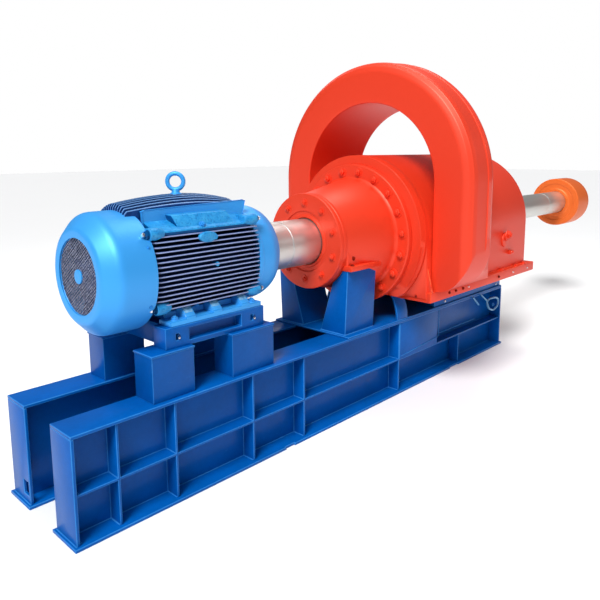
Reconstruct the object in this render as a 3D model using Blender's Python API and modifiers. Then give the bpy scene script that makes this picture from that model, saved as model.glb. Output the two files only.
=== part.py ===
"""Motor-driven horizontal turbine set on a steel skid.

Metres, +Z up, +X along the shaft from the motor to the turbine. The origin is on the floor
under the middle of the whole set. Stations along the set are measured from the skid's motor
end and turned into X by along().
"""
import math

import bmesh
import bpy
from mathutils import Matrix, Vector

GAP = 0.0003
ROUND_GAP = 0.0015

# Skid: two fabricated girders side by side
SKID_LENGTH = 4.560
SKID_HEIGHT = 0.600
SKID_OUTER = 0.383
SKID_INNER = 0.159
SKID_LIP = 0.017
FLANGE_T = 0.018
END_PLATE_T = 0.018
WEB_Y = 0.268
WEB_T = 0.014
STIFFENER_T = 0.014
STIFFENER_SET_BACK = 0.010
MID_STIFFENER_Z = 0.277
FULL_RIBS = (0.246, 0.606, 1.186, 1.649, 2.772)
LOWER_RIB = 3.732
PATCH_PLATE = (2.786, 3.350)
NOTCHES = ((1.450, 1.535), (3.560, 3.700))
NOTCH_DEPTH = 0.011
ACCESS_HOLE = (0.066, 0.084, 0.062, 0.210)
CROSS_BEAMS = (0.480, 1.750, 2.980, 4.200)
CROSS_BEAM_SIZE = (0.100, 0.300)
CROSS_BEAM_Z = 0.080

# Shaft line
AXIS_Z = 1.294
SHAFT_R = 0.171
TAIL_R = 0.136
MOTOR_SHAFT_R = 0.060
RUNNING_GAP = 0.006
HUB = (6.804, 7.170)
HUB_R = 0.300
WHOLE_LENGTH = HUB[1] + SKID_LIP
CENTRE_STATION = HUB[1] - WHOLE_LENGTH / 2
SHAFT_ENDS = (0.421, HUB[1] - 0.030)
SHAFT_STEP_UP = 1.360
SHAFT_STEP_DOWN = 3.950
HUB_CHAMFER = 0.010

# Motor
MOTOR_FRAME = (0.560, 1.320)
COWL_FRONT = 0.268
COWL_SHOULDER = 0.330
COWL_R = 0.345
COWL_MOUTH_R = 0.258
COWL_EYE_R = 0.212
COWL_SHEET = 0.012
CORE_R = 0.262
SIDE_FIN_COUNT = 16
SIDE_FIN_REACH = 0.318
SIDE_FIN_SPAN = (-0.200, 0.205)
SIDE_FIN_T = 0.010
SIDE_FIN_DROP = 0.030
TOP_FIN_COUNT = 13
TOP_FIN_HALF_WIDTH = 0.150
TOP_FIN_Z = 0.410
TOP_FIN_DROP = 0.055
TOP_FIN_ROOT = 0.055
SHELF_Y = (0.162, 0.262)
SHELF_Z = (0.235, 0.269)
FRAME_FOOT_Y = 0.210
FAN_SHIELD_START = 0.500
FAN_SHIELD_NOSE_R = 0.200
FAN_SHIELD_RIM_T = 0.030
SHIELD_END = 1.555
SHIELD_R = 0.318
SHIELD_STRAIGHT = 0.150
SHIELD_NOSE_R = 0.255
SHIELD_NOSE_T = 0.030
SHIELD_BOSS = (0.215, 1.590)
TERMINAL_BOX_X = (0.760, 1.180)
TERMINAL_BOX_Y = (0.195, 0.262)
TERMINAL_BOX_RISE = 0.036
FOOT_TOP_Z = 1.060
FOOT_Z = 0.9943
FOOT_T = 0.030
FOOT_WALL_T = 0.024
FOOT_Y = (0.200, 0.318)
FOOT_X = (0.640, 1.318)
FOOT_RIBS = (0.745, 0.940, 1.155)
FOOT_RIB_LENGTH = 0.070
FOOT_RIB_TOP = (1.086, 0.262)
FOOT_SINK = 0.010
BED_Z = (0.872, 0.994)
BED_X = (0.600, 1.335)
BED_Y = 0.322
BED_RAIL_WIDTH = 0.120
BED_CHANNELS = (("fan_end", (0.640, 0.720)), ("drive_end", (1.215, 1.295)))
RAIL_SLOT_X = (0.760, 1.150)
RAIL_SLOT_Z = (0.900, 0.972)
RAIL_SLOT_DEPTH = 0.060
RAIL_HOLES_X = (0.680, 1.235)
RAIL_HOLE_Z = (0.916, 0.954)
RAIL_HOLE_R = 0.011
RAIL_HOLE_DEPTH = 0.030
PEDESTAL_X = ((0.490, 0.768), (1.050, 1.392))
PEDESTAL_Y = (0.172, 0.350)
PAD_T = 0.012
PAD_LIP = 0.005
EYEBOLT_X = 0.925
EYE_R = 0.048
EYE_WIRE_R = 0.014
EYE_COLLAR = (0.040, 0.022, 0.023)
FAN_HUB = (0.330, 0.420)
FAN_HUB_R = 0.075
FAN_DISC = (0.408, 0.420)
FAN_R = 0.290
FAN_BLADES = 8
BLADE_X = (0.340, 0.412)
BLADE_R = (0.060, 0.285)
BLADE_T = 0.008

# Bearing housing
DECK = (2.115, 4.556)
DECK_T = 0.014
COVER = (2.055, 2.125)
COVER_R = 0.358
HOUSING_END_R = 0.442
BOLT_FLANGE = (2.600, 2.650)
BOLT_FLANGE_R = 0.560
BEARING_PEDESTAL = (2.138, 2.478)
PEDESTAL_FOOT_Y = (0.090, 0.330)
PEDESTAL_HEAD_Y = (0.240, 0.352)
BEARING_FOOT_Z = (1.098, 1.138)
BEARING_FOOT_Y = (0.225, 0.392)
BEARING_FOOT_X = (2.130, 2.492)
SADDLE = (2.735, 2.880)
SADDLE_R = 0.380
SADDLE_SHEET = 0.016

# Turbine casing
CASING = (2.653, 4.485)
DRUM_NOSE_END = 2.740
CASING_R = 0.632
CASING_FLOOR = 0.830
CASING_ROUNDING = 0.045
BELLY_END = 2.920
BELLY_R = 0.410
FOOT_FLANGE = (2.745, 4.620)
FOOT_FLANGE_Z = (0.800, 0.882)
FOOT_FLANGE_Y = (0.200, 0.672)
SOLE_BLOCK = (3.300, 4.540)
SOLE_BLOCK_Y = (0.180, 0.372)
COVER_PLATE_R = 0.420
COVER_PLATE_T = 0.040
COVER_NOSE_R = 0.210
COVER_NOSE_LENGTH = 0.110
SHAFT_BORES_MEET = 4.000

# Scroll ring over the casing
RING_CENTRE_Z = 1.705
RING_INNER_R = 0.636
RING_OUTER_R = 0.958
RING_FRONT = 2.800
RIM = (3.030, 3.095)
RIM_R = 0.966
RING_REAR = 3.520
RING_REAR_R = 0.745
RING_FOOT_Z = FOOT_FLANGE_Z[1] + GAP
LEG_CURVE_TOP = 1.290
LEG_FOOT_OUTER = 0.672

COLOURS = {
    "base_blue": ((0.010, 0.150, 0.480), 0.0, 0.40),
    "motor_blue": ((0.035, 0.330, 0.800), 0.0, 0.35),
    "turbine_red": ((0.760, 0.045, 0.012), 0.0, 0.32),
    "hub_orange": ((0.720, 0.130, 0.015), 0.0, 0.45),
    "polished_steel": ((0.620, 0.610, 0.580), 1.0, 0.18),
    "grille_steel": ((0.120, 0.130, 0.150), 1.0, 0.45),
}


def along(station):
    """X of a station measured from the skid's motor end."""
    return station - CENTRE_STATION


# Scene set-up
def clear_scene():
    for thing in list(bpy.data.objects):
        bpy.data.objects.remove(thing, do_unlink=True)


def new_collection(name):
    collection = bpy.data.collections.new(name)
    bpy.context.scene.collection.children.link(collection)
    return collection


def paint(name):
    """Principled material of one of the named finishes, made once."""
    if name in bpy.data.materials:
        return bpy.data.materials[name]
    colour, metallic, roughness = COLOURS[name]
    material = bpy.data.materials.new(name)
    material.use_nodes = True
    shader = material.node_tree.nodes["Principled BSDF"]
    shader.inputs["Base Color"].default_value = (*colour, 1.0)
    shader.inputs["Metallic"].default_value = metallic
    shader.inputs["Roughness"].default_value = roughness
    return material


def place(name, mesh, finish, location=(0.0, 0.0, 0.0)):
    piece = bpy.data.objects.new(name, mesh)
    piece.location = location
    if finish is None:
        CUTTERS.objects.link(piece)
        piece.hide_render = True
        piece.display_type = "WIRE"
    else:
        SET.objects.link(piece)
        mesh.materials.append(paint(finish))
    return piece


def smooth(piece, degrees=35.0):
    piece.data.shade_smooth()
    piece.data.set_sharp_from_angle(angle=math.radians(degrees))
    return piece


# Shape makers
def box(name, finish, x_span, y_span, z_span):
    """Box between two X, two Y and two Z values, its origin at its middle."""
    spans = [sorted(span) for span in (x_span, y_span, z_span)]
    middle = [(low + high) / 2 for low, high in spans]
    size = [high - low for low, high in spans]
    bm = bmesh.new()
    bmesh.ops.create_cube(bm, size=1.0)
    bmesh.ops.scale(bm, vec=size, verts=bm.verts)
    mesh = bpy.data.meshes.new(name)
    bm.to_mesh(mesh)
    bm.free()
    return place(name, mesh, finish, middle)


def turned(name, finish, profile, station, steps=48, closed=False):
    """Profile of (distance along the shaft, radius) points turned about the shaft line.

    The points run from the far end back to the near end on the outside, and a closed profile
    comes back along its bore.
    """
    mesh = bpy.data.meshes.new(name)
    points = [(radius, 0.0, distance) for distance, radius in profile]
    edges = [(i, i + 1) for i in range(len(points) - 1)]
    if closed:
        edges.append((len(points) - 1, 0))
    mesh.from_pydata(points, edges, [])
    piece = place(name, mesh, finish, (along(station), 0.0, AXIS_Z))
    piece.rotation_euler = (0.0, math.pi / 2, 0.0)
    screw = piece.modifiers.new("turn", "SCREW")
    screw.axis = "Z"
    screw.angle = math.tau
    screw.steps = steps
    screw.render_steps = steps
    screw.use_merge_vertices = True
    screw.merge_threshold = 0.0001
    return piece


def outline_mesh(name, loops, depth):
    """Mesh of flat loops in Y and Z, inner ones being holes, made `depth` long along X."""
    curve = bpy.data.curves.new(name, "CURVE")
    curve.dimensions = "2D"
    curve.fill_mode = "BOTH"
    curve.extrude = depth / 2
    for loop in loops:
        spline = curve.splines.new("POLY")
        spline.points.add(len(loop) - 1)
        for point, (y, z) in zip(spline.points, loop):
            point.co = (y, z, 0.0, 1.0)
        spline.use_cyclic_u = True
    guide = bpy.data.objects.new(name + "_outline", curve)
    CUTTERS.objects.link(guide)
    mesh = bpy.data.meshes.new_from_object(guide.evaluated_get(bpy.context.evaluated_depsgraph_get()))
    bpy.data.objects.remove(guide, do_unlink=True)
    bm = bmesh.new()
    bm.from_mesh(mesh)
    bmesh.ops.remove_doubles(bm, verts=bm.verts, dist=0.00001)
    turn = Matrix(((0, 0, 1, 0), (1, 0, 0, 0), (0, 1, 0, 0), (0, 0, 0, 1)))
    bmesh.ops.transform(bm, matrix=turn, verts=bm.verts)
    bmesh.ops.recalc_face_normals(bm, faces=bm.faces)
    bm.to_mesh(mesh)
    bm.free()
    mesh.name = name
    return mesh


def outline_solid(name, finish, points, x_span, holes=()):
    """Prism along X between two X values, with its outline and holes given in Y and Z."""
    mesh = outline_mesh(name, [points, *holes], x_span[1] - x_span[0])
    return place(name, mesh, finish, ((x_span[0] + x_span[1]) / 2, 0.0, 0.0))


def arc(centre_y, centre_z, radius, start, end, count):
    """Points of an arc in Y and Z, angles in degrees from +Y towards +Z."""
    angles = [math.radians(start + (end - start) * i / count) for i in range(count + 1)]
    return [(centre_y + radius * math.cos(a), centre_z + radius * math.sin(a)) for a in angles]


def boolean(piece, other, operation="DIFFERENCE"):
    modifier = piece.modifiers.new(operation.lower(), "BOOLEAN")
    modifier.operation = operation
    modifier.solver = "EXACT"
    modifier.object = other


def bevel(piece, width, segments=2, degrees=30.0):
    modifier = piece.modifiers.new("rounding", "BEVEL")
    modifier.width = width
    modifier.segments = segments
    modifier.limit_method = "ANGLE"
    modifier.angle_limit = math.radians(degrees)


def shaft_bore(name, radius, start, end):
    """Cutter for a hole on the shaft line between two stations."""
    length = end - start
    profile = [(length, 0.0), (length, radius), (0.0, radius), (0.0, 0.0)]
    return turned(name, None, profile, start)


def side_span(side, span):
    """Y span on the near side (-1) or the far side (+1)."""
    return (side * span[0], side * span[1])


SIDES = (("near", -1), ("far", 1))


# Skid
def girder(label, side):
    top_z = (SKID_HEIGHT - FLANGE_T, SKID_HEIGHT)
    x_span = (along(0.0), along(SKID_LENGTH))
    web_z = (FLANGE_T + GAP, top_z[0] - GAP)
    box(f"{label}_top_plate", "base_blue", x_span, side_span(side, (SKID_INNER, SKID_OUTER)), top_z)
    bottom_plate(label, side)
    inside = (along(END_PLATE_T) + GAP, along(SKID_LENGTH - END_PLATE_T) - GAP)
    box(f"{label}_web", "base_blue", inside, side_span(side, (WEB_Y - WEB_T / 2, WEB_Y + WEB_T / 2)), web_z)
    ends = (("motor_end", (along(0.0), along(END_PLATE_T))),
            ("turbine_end", (along(SKID_LENGTH - END_PLATE_T), along(SKID_LENGTH))))
    for end, span in ends:
        plate = box(f"{label}_{end}_plate", "base_blue", span,
                    side_span(side, (SKID_INNER, SKID_OUTER)), web_z)
        if (label, end) == ("far", "motor_end"):
            width, height, low, y = ACCESS_HOLE
            hole = box("access_hole", None, (span[0] - END_PLATE_T, span[1] + END_PLATE_T),
                       (y - width / 2, y + width / 2), (low, low + height))
            boolean(plate, hole)
    stiffeners(label, side, web_z)


def bottom_plate(label, side):
    """Bottom flange with a lip all round and small notches in its outer edge."""
    outer = SKID_OUTER + SKID_LIP
    plate = box(f"{label}_bottom_plate", "base_blue",
                (along(-SKID_LIP), along(SKID_LENGTH + SKID_LIP)),
                side_span(side, (SKID_INNER - SKID_LIP, outer)), (0.0, FLANGE_T))
    for index, (start, end) in enumerate(NOTCHES):
        notch = box(f"{label}_notch_{index}", None, (along(start), along(end)),
                    side_span(side, (outer - NOTCH_DEPTH, outer + NOTCH_DEPTH)), (-FLANGE_T, 2 * FLANGE_T))
        boolean(plate, notch)


def stiffeners(label, side, web_z):
    """Outer stiffening: one long shelf, the upright ribs and the flush patch plate, welded in one."""
    y_span = side_span(side, (WEB_Y + WEB_T / 2 + GAP, SKID_OUTER - STIFFENER_SET_BACK))
    shelf_z = (MID_STIFFENER_Z - STIFFENER_T / 2, MID_STIFFENER_Z + STIFFENER_T / 2)
    inside = (along(END_PLATE_T) + GAP, along(SKID_LENGTH - END_PLATE_T) - GAP)
    shelf = box(f"{label}_stiffeners", "base_blue", inside, y_span, shelf_z)
    for index, station in enumerate(FULL_RIBS):
        rib = box(f"{label}_rib_{index}", None, (along(station), along(station + STIFFENER_T)), y_span,
                  web_z)
        boolean(shelf, rib, "UNION")
    lower = box(f"{label}_rib_lower", None, (along(LOWER_RIB), along(LOWER_RIB + STIFFENER_T)), y_span,
                (web_z[0], MID_STIFFENER_Z))
    boolean(shelf, lower, "UNION")
    face = side_span(side, (SKID_OUTER - STIFFENER_SET_BACK - STIFFENER_T, SKID_OUTER - 0.004))
    patch = box(f"{label}_patch", None, (along(PATCH_PLATE[0]) - STIFFENER_T / 2, along(PATCH_PLATE[1])),
                face, (MID_STIFFENER_Z, web_z[1]))
    boolean(shelf, patch, "UNION")


def cross_beams():
    width, height = CROSS_BEAM_SIZE
    reach = SKID_INNER + 0.045
    for index, station in enumerate(CROSS_BEAMS, start=1):
        box(f"cross_beam_{index}", "base_blue", (along(station), along(station + width)),
            (-reach, reach), (CROSS_BEAM_Z, CROSS_BEAM_Z + height))


def deck():
    y = SKID_OUTER
    box("deck_plate", "base_blue", (along(DECK[0]), along(DECK[1])), (-y, y),
        (SKID_HEIGHT + GAP, SKID_HEIGHT + DECK_T))


# Motor carrier
def motor_pedestals():
    places = [(label, side, end, span) for label, side in SIDES
              for end, span in zip(("fan_end", "drive_end"), PEDESTAL_X)]
    for label, side, end, span in places:
        name = f"{label}_{end}_pedestal"
        column = box(name, "base_blue", (along(span[0]), along(span[1])), side_span(side, PEDESTAL_Y),
                     (SKID_HEIGHT + GAP, BED_Z[0] - GAP))
        pad = box(name + "_pad", None, (along(span[0] - PAD_LIP), along(span[1] + PAD_LIP)),
                  side_span(side, (PEDESTAL_Y[0] - PAD_LIP, PEDESTAL_Y[1] + PAD_LIP)),
                  (BED_Z[0] - GAP - PAD_T, BED_Z[0] - GAP))
        boolean(column, pad, "UNION")


def motor_bed():
    """Two slotted rails joined by a cross channel at each end."""
    x_span = (along(BED_X[0]), along(BED_X[1]))
    for label, side in SIDES:
        rail = box(f"{label}_bed_rail", "base_blue", x_span,
                   side_span(side, (BED_Y - BED_RAIL_WIDTH, BED_Y)), BED_Z)
        slot = box(f"{label}_rail_slot", None, (along(RAIL_SLOT_X[0]), along(RAIL_SLOT_X[1])),
                   side_span(side, (BED_Y - RAIL_SLOT_DEPTH, BED_Y + PAD_LIP)), RAIL_SLOT_Z)
        boolean(rail, slot)
        for index, station in enumerate(RAIL_HOLES_X):
            hole = box(f"{label}_rail_hole_{index}", None,
                       (along(station) - RAIL_HOLE_R, along(station) + RAIL_HOLE_R),
                       side_span(side, (BED_Y - RAIL_HOLE_DEPTH, BED_Y + PAD_LIP)), RAIL_HOLE_Z)
            boolean(rail, hole)
    inner = BED_Y - BED_RAIL_WIDTH - GAP
    for end, span in BED_CHANNELS:
        box(f"bed_channel_{end}", "base_blue", (along(span[0]), along(span[1])), (-inner, inner), BED_Z)


# Motor
def fin_outline():
    """Section of the finned frame, walked anticlockwise from the lower right foot wall."""
    half = SIDE_FIN_T / 2
    low, high = SIDE_FIN_SPAN
    pitch = (high - low) / (SIDE_FIN_COUNT - 1)
    right = [(FRAME_FOOT_Y, FOOT_TOP_Z - AXIS_Z)]
    for index in range(SIDE_FIN_COUNT):
        z = low + pitch * index
        root = math.sqrt(CORE_R ** 2 - z ** 2)
        reach = SIDE_FIN_REACH - SIDE_FIN_DROP * abs(z / high) ** 3
        right += [(root, z - half), (reach, z - half), (reach, z + half), (root, z + half)]
    right += [(SHELF_Y[0], SHELF_Z[0]), (SHELF_Y[1], SHELF_Z[0]), (SHELF_Y[1], SHELF_Z[1]),
              (TERMINAL_BOX_Y[0], SHELF_Z[1])]
    top = []
    step = 2 * TOP_FIN_HALF_WIDTH / (TOP_FIN_COUNT - 1)
    for index in range(TOP_FIN_COUNT):
        y = TOP_FIN_HALF_WIDTH - step * index
        crest = TOP_FIN_Z - TOP_FIN_DROP * (y / TOP_FIN_HALF_WIDTH) ** 2
        root = math.sqrt(CORE_R ** 2 - y ** 2) + TOP_FIN_ROOT
        top += [(y + half, root), (y + half, crest), (y - half, crest), (y - half, root)]
    left = [(-y, z) for y, z in reversed(right)]
    return [(y, z + AXIS_Z) for y, z in right + top + left]


def motor_frame():
    bore = arc(0.0, AXIS_Z, MOTOR_SHAFT_R + RUNNING_GAP, 0.0, 345.0, 23)
    outline_solid("motor_frame", "motor_blue", fin_outline(),
                  (along(MOTOR_FRAME[0]), along(MOTOR_FRAME[1])), [bore])


def motor_feet():
    """One long cast foot on each side with three sloping ribs up to the frame."""
    low = FOOT_Z + FOOT_SINK
    top = FOOT_TOP_Z - GAP
    for label, side in SIDES:
        foot = box(f"{label}_motor_foot", "motor_blue", (along(FOOT_X[0]), along(FOOT_X[1])),
                   side_span(side, FOOT_Y), (FOOT_Z, FOOT_Z + FOOT_T))
        wall = box(f"{label}_foot_wall", None, (along(FOOT_X[0] + FOOT_T), along(FOOT_X[1] - FOOT_T)),
                   side_span(side, (FOOT_Y[0], FOOT_Y[0] + FOOT_WALL_T)), (low, top))
        boolean(foot, wall, "UNION")
        for index, station in enumerate(FOOT_RIBS):
            y_near, y_far = side * (FRAME_FOOT_Y + 0.003), side * FOOT_Y[1]
            crest, y_crest = FOOT_RIB_TOP
            points = [(y_near, low), (y_far, low), (y_far, low + FOOT_T), (side * y_crest, crest),
                      (y_near, crest)]
            rib = outline_solid(f"{label}_foot_rib_{index}", None, points,
                                (along(station), along(station + FOOT_RIB_LENGTH)))
            boolean(foot, rib, "UNION")


def fan_cowl():
    """Pressed cover over the fan, open at the eye and at its rear edge."""
    rear = MOTOR_FRAME[0] - ROUND_GAP
    corner = COWL_SHEET / 2
    outer = [(rear, COWL_R), (COWL_SHOULDER, COWL_R), (COWL_FRONT, COWL_MOUTH_R),
             (COWL_FRONT, COWL_EYE_R)]
    inner = [(COWL_FRONT + COWL_SHEET, COWL_EYE_R), (COWL_FRONT + COWL_SHEET, COWL_MOUTH_R - corner),
             (COWL_SHOULDER + corner, COWL_R - COWL_SHEET), (rear, COWL_R - COWL_SHEET)]
    profile = [(station - COWL_FRONT, radius) for station, radius in outer + inner]
    return smooth(turned("fan_cowl", "motor_blue", profile, COWL_FRONT, 64, True))


def fan_grille():
    start = COWL_FRONT + COWL_SHEET + GAP
    radius = COWL_EYE_R + COWL_SHEET
    thickness = COWL_SHEET / 2
    profile = [(thickness, 0.0), (thickness, radius), (0.0, radius), (0.0, 0.0)]
    return turned("fan_grille", "grille_steel", profile, start)


def end_shields():
    """Fan-end bracket inside the cowl and the bell-shaped drive-end shield."""
    bore = MOTOR_SHAFT_R + RUNNING_GAP
    start = FAN_SHIELD_START
    length = MOTOR_FRAME[0] - GAP - start
    rim = COWL_R - COWL_SHEET - ROUND_GAP
    profile = [(length, rim), (length - FAN_SHIELD_RIM_T, rim), (0.0, FAN_SHIELD_NOSE_R), (0.0, bore),
               (length, bore)]
    turned("fan_end_shield", "motor_blue", profile, start, 64, True)
    bore = SHAFT_R + RUNNING_GAP
    start = MOTOR_FRAME[1] + GAP
    boss_r, boss_end = SHIELD_BOSS
    profile = [(boss_end - start, boss_r), (SHIELD_END - start, boss_r),
               (SHIELD_END - SHIELD_NOSE_T - start, SHIELD_NOSE_R), (SHIELD_STRAIGHT, SHIELD_R),
               (0.0, SHIELD_R), (0.0, bore), (boss_end - start, bore)]
    smooth(turned("drive_end_shield", "motor_blue", profile, start, 64, True))


def terminal_box():
    """Blank raised box on the near shelf of the frame."""
    inner, outer = TERMINAL_BOX_Y
    low = AXIS_Z + SHELF_Z[1] + GAP
    high = low + TERMINAL_BOX_RISE
    points = [(-outer, low), (-inner, low), (-inner, high), (-(inner + outer) / 2, high)]
    return outline_solid("terminal_box", "motor_blue", points,
                         (along(TERMINAL_BOX_X[0]), along(TERMINAL_BOX_X[1])))


def eyebolt():
    """Lifting eye screwed into the top of the frame."""
    foot_r, neck_r, height = EYE_COLLAR
    base_z = AXIS_Z + TOP_FIN_Z + GAP
    centre_z = base_z + height + EYE_R + EYE_WIRE_R / 2
    mesh = bpy.data.meshes.new("eyebolt")
    bm = bmesh.new()
    bmesh.ops.create_cone(bm, cap_ends=True, segments=24, radius1=foot_r, radius2=neck_r, depth=height)
    bm.to_mesh(mesh)
    bm.free()
    collar = place("eyebolt", mesh, "motor_blue", (along(EYEBOLT_X), 0.0, base_z + height / 2))
    ring_curve = bpy.data.curves.new("eye", "CURVE")
    ring_curve.dimensions = "3D"
    ring_curve.bevel_depth = EYE_WIRE_R
    ring_curve.bevel_resolution = 2
    spline = ring_curve.splines.new("POLY")
    count = 28
    spline.points.add(count - 1)
    for index, point in enumerate(spline.points):
        angle = math.tau * index / count
        across = EYE_R * math.cos(angle) * math.sqrt(0.5)
        point.co = (across, -across, EYE_R * math.sin(angle), 1.0)
    spline.use_cyclic_u = True
    guide = bpy.data.objects.new("eye_curve", ring_curve)
    CUTTERS.objects.link(guide)
    guide.location = (along(EYEBOLT_X), 0.0, centre_z)
    bpy.context.view_layer.update()
    ring_mesh = bpy.data.meshes.new_from_object(guide.evaluated_get(bpy.context.evaluated_depsgraph_get()))
    ring = place("eye_ring", ring_mesh, None)
    ring.matrix_world = guide.matrix_world.copy()
    bpy.data.objects.remove(guide, do_unlink=True)
    boolean(collar, ring, "UNION")
    return smooth(collar)


def motor_fan():
    """Hub, back disc and straight blades on the motor shaft, under the cowl."""
    length = FAN_HUB[1] - FAN_HUB[0]
    hub_profile = [(length, 0.0), (length, FAN_HUB_R), (0.0, FAN_HUB_R), (0.0, 0.0)]
    fan = turned("motor_fan", "motor_blue", hub_profile, FAN_HUB[0], 32)
    length = FAN_DISC[1] - FAN_DISC[0]
    disc_profile = [(length, 0.0), (length, FAN_R), (0.0, FAN_R), (0.0, 0.0)]
    boolean(fan, turned("fan_disc", None, disc_profile, FAN_DISC[0], 32), "UNION")
    middle = (BLADE_R[0] + BLADE_R[1]) / 2
    for index in range(FAN_BLADES):
        angle = math.tau * (index + 0.5) / FAN_BLADES
        blade = box(f"fan_blade_{index}", None, (along(BLADE_X[0]), along(BLADE_X[1])),
                    (-BLADE_T / 2, BLADE_T / 2), BLADE_R)
        blade.location.y = -math.sin(angle) * middle
        blade.location.z = AXIS_Z + math.cos(angle) * middle
        blade.rotation_euler = (angle, 0.0, 0.0)
        boolean(fan, blade, "UNION")
    return fan


# Bearing and its supports
def bearing_pedestals():
    """Tapered box columns that carry the bearing housing."""
    z_foot, z_head = SKID_HEIGHT + DECK_T + GAP, BEARING_FOOT_Z[0] - GAP
    for label, side in SIDES:
        mesh = bpy.data.meshes.new(f"{label}_bearing_pedestal")
        bm = bmesh.new()
        bmesh.ops.create_cube(bm, size=1.0)
        for vert in bm.verts:
            head = vert.co.z > 0
            inner, outer = PEDESTAL_HEAD_Y if head else PEDESTAL_FOOT_Y
            x = along(BEARING_PEDESTAL[1] if vert.co.x > 0 else BEARING_PEDESTAL[0])
            y = side * (outer if vert.co.y * side > 0 else inner)
            vert.co = Vector((x, y, z_head if head else z_foot))
        bm.to_mesh(mesh)
        bm.free()
        pedestal = place(f"{label}_bearing_pedestal", mesh, "base_blue")
        boolean(pedestal, housing_seat(label))


def housing_seat(label):
    """Cutter a little larger than the bearing housing's tapered barrel."""
    start, end = COVER[1], BOLT_FLANGE[0]
    length = end - start
    profile = [(length, 0.0), (length, HOUSING_END_R + ROUND_GAP), (0.0, COVER_R + ROUND_GAP),
               (0.0, 0.0)]
    return turned(f"{label}_housing_seat", None, profile, start, 64)


def bearing_cover():
    depth = COVER[1] - COVER[0]
    bore = SHAFT_R + RUNNING_GAP
    profile = [(depth, COVER_R), (0.0, COVER_R), (0.0, bore), (depth, bore)]
    return turned("bearing_cover", "turbine_red", profile, COVER[0], 64, True)


def bearing_housing():
    """Round barrel with flat sides down to two feet, and the bolted flange behind it."""
    start = COVER[1] + GAP
    bore = SHAFT_R + RUNNING_GAP
    barrel_r = COVER_R - 0.004
    profile = [(BOLT_FLANGE[1] - start, BOLT_FLANGE_R), (BOLT_FLANGE[0] - start, BOLT_FLANGE_R),
               (BOLT_FLANGE[0] - start, HOUSING_END_R), (0.0, barrel_r), (0.0, bore),
               (BOLT_FLANGE[1] - start, bore)]
    housing = turned("bearing_housing", "turbine_red", profile, start, 64, True)
    x_span = (along(BEARING_FOOT_X[0]), along(BEARING_FOOT_X[1]))
    for label, side in SIDES:
        wall = box(f"{label}_housing_wall", None, x_span,
                   side_span(side, (PEDESTAL_HEAD_Y[0], barrel_r)),
                   (BEARING_FOOT_Z[0] + FOOT_SINK, AXIS_Z + FOOT_SINK))
        boolean(housing, wall, "UNION")
        foot = box(f"{label}_housing_foot", None, x_span, side_span(side, BEARING_FOOT_Y), BEARING_FOOT_Z)
        boolean(housing, foot, "UNION")
    return smooth(housing)


def saddle_arch():
    """Half drum of plate standing on the deck under the casing."""
    z = SKID_HEIGHT + DECK_T + GAP
    outline = arc(0.0, z, SADDLE_R, 0.0, 180.0, 24) + arc(0.0, z, SADDLE_R - SADDLE_SHEET, 180.0, 0.0, 24)
    return outline_solid("saddle_arch", "base_blue", outline, (along(SADDLE[0]), along(SADDLE[1])))


# Turbine
def casing():
    """Drum-topped casing with straight sides, bored for the shaft and hollowed over the saddle."""
    outline = [(CASING_R, CASING_FLOOR)] + arc(0.0, AXIS_Z, CASING_R, 0.0, 180.0, 36)
    outline.append((-CASING_R, CASING_FLOOR))
    body = outline_solid("casing", "turbine_red", outline, (along(CASING[0]), along(CASING[1])))
    bevel(body, CASING_ROUNDING, 3, 40.0)
    boolean(body, belly_cutter("casing_belly"))
    front = shaft_bore("casing_bore_front", SHAFT_R + RUNNING_GAP, CASING[0] - 0.1, SHAFT_BORES_MEET)
    rear = shaft_bore("casing_bore_rear", TAIL_R + RUNNING_GAP, SHAFT_BORES_MEET - 0.1, CASING[1] + 0.1)
    boolean(body, front)
    boolean(body, rear)
    for label, side in SIDES:
        boolean(body, nose_corner(label, side))
    return smooth(body)


def nose_corner(label, side):
    """Region outside the drum's round nose, below the shaft line and ahead of the foot flange."""
    floor_angle = math.degrees(math.asin((AXIS_Z - CASING_FLOOR) / CASING_R))
    curve = [(side * y, z) for y, z in arc(0.0, AXIS_Z, CASING_R, 0.0, -floor_angle, 12)]
    reach = CASING_R + 0.05
    points = curve + [(curve[-1][0], CASING_FLOOR - 0.05), (side * reach, CASING_FLOOR - 0.05),
                      (side * reach, AXIS_Z)]
    return outline_solid(f"{label}_nose_corner", None, points,
                         (along(CASING[0] - 0.1), along(DRUM_NOSE_END)))


def belly_cutter(name):
    """Half round space over the saddle."""
    outline = arc(0.0, SKID_HEIGHT + DECK_T, BELLY_R, 0.0, 180.0, 24)
    return outline_solid(name, None, outline, (along(CASING[0] - 0.1), along(BELLY_END)))


def foot_flanges():
    """Long mounting flanges along both sides, notched where the casing stands in them."""
    for label, side in SIDES:
        x_span = (along(FOOT_FLANGE[0]), along(FOOT_FLANGE[1]))
        flange = box(f"{label}_foot_flange", "turbine_red", x_span, side_span(side, FOOT_FLANGE_Y),
                     FOOT_FLANGE_Z)
        seat = box(f"{label}_flange_seat", None, (along(CASING[0] - 0.1), along(CASING[1]) + GAP),
                   side_span(side, (0.0, CASING_R + GAP)), (CASING_FLOOR - GAP, 1.5))
        boolean(flange, seat)
        boolean(flange, belly_cutter(f"{label}_flange_belly"))


def sole_blocks():
    z = (SKID_HEIGHT + DECK_T + GAP, FOOT_FLANGE_Z[0] - GAP)
    for label, side in SIDES:
        box(f"{label}_sole_block", "base_blue", (along(SOLE_BLOCK[0]), along(SOLE_BLOCK[1])),
            side_span(side, SOLE_BLOCK_Y), z)


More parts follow.
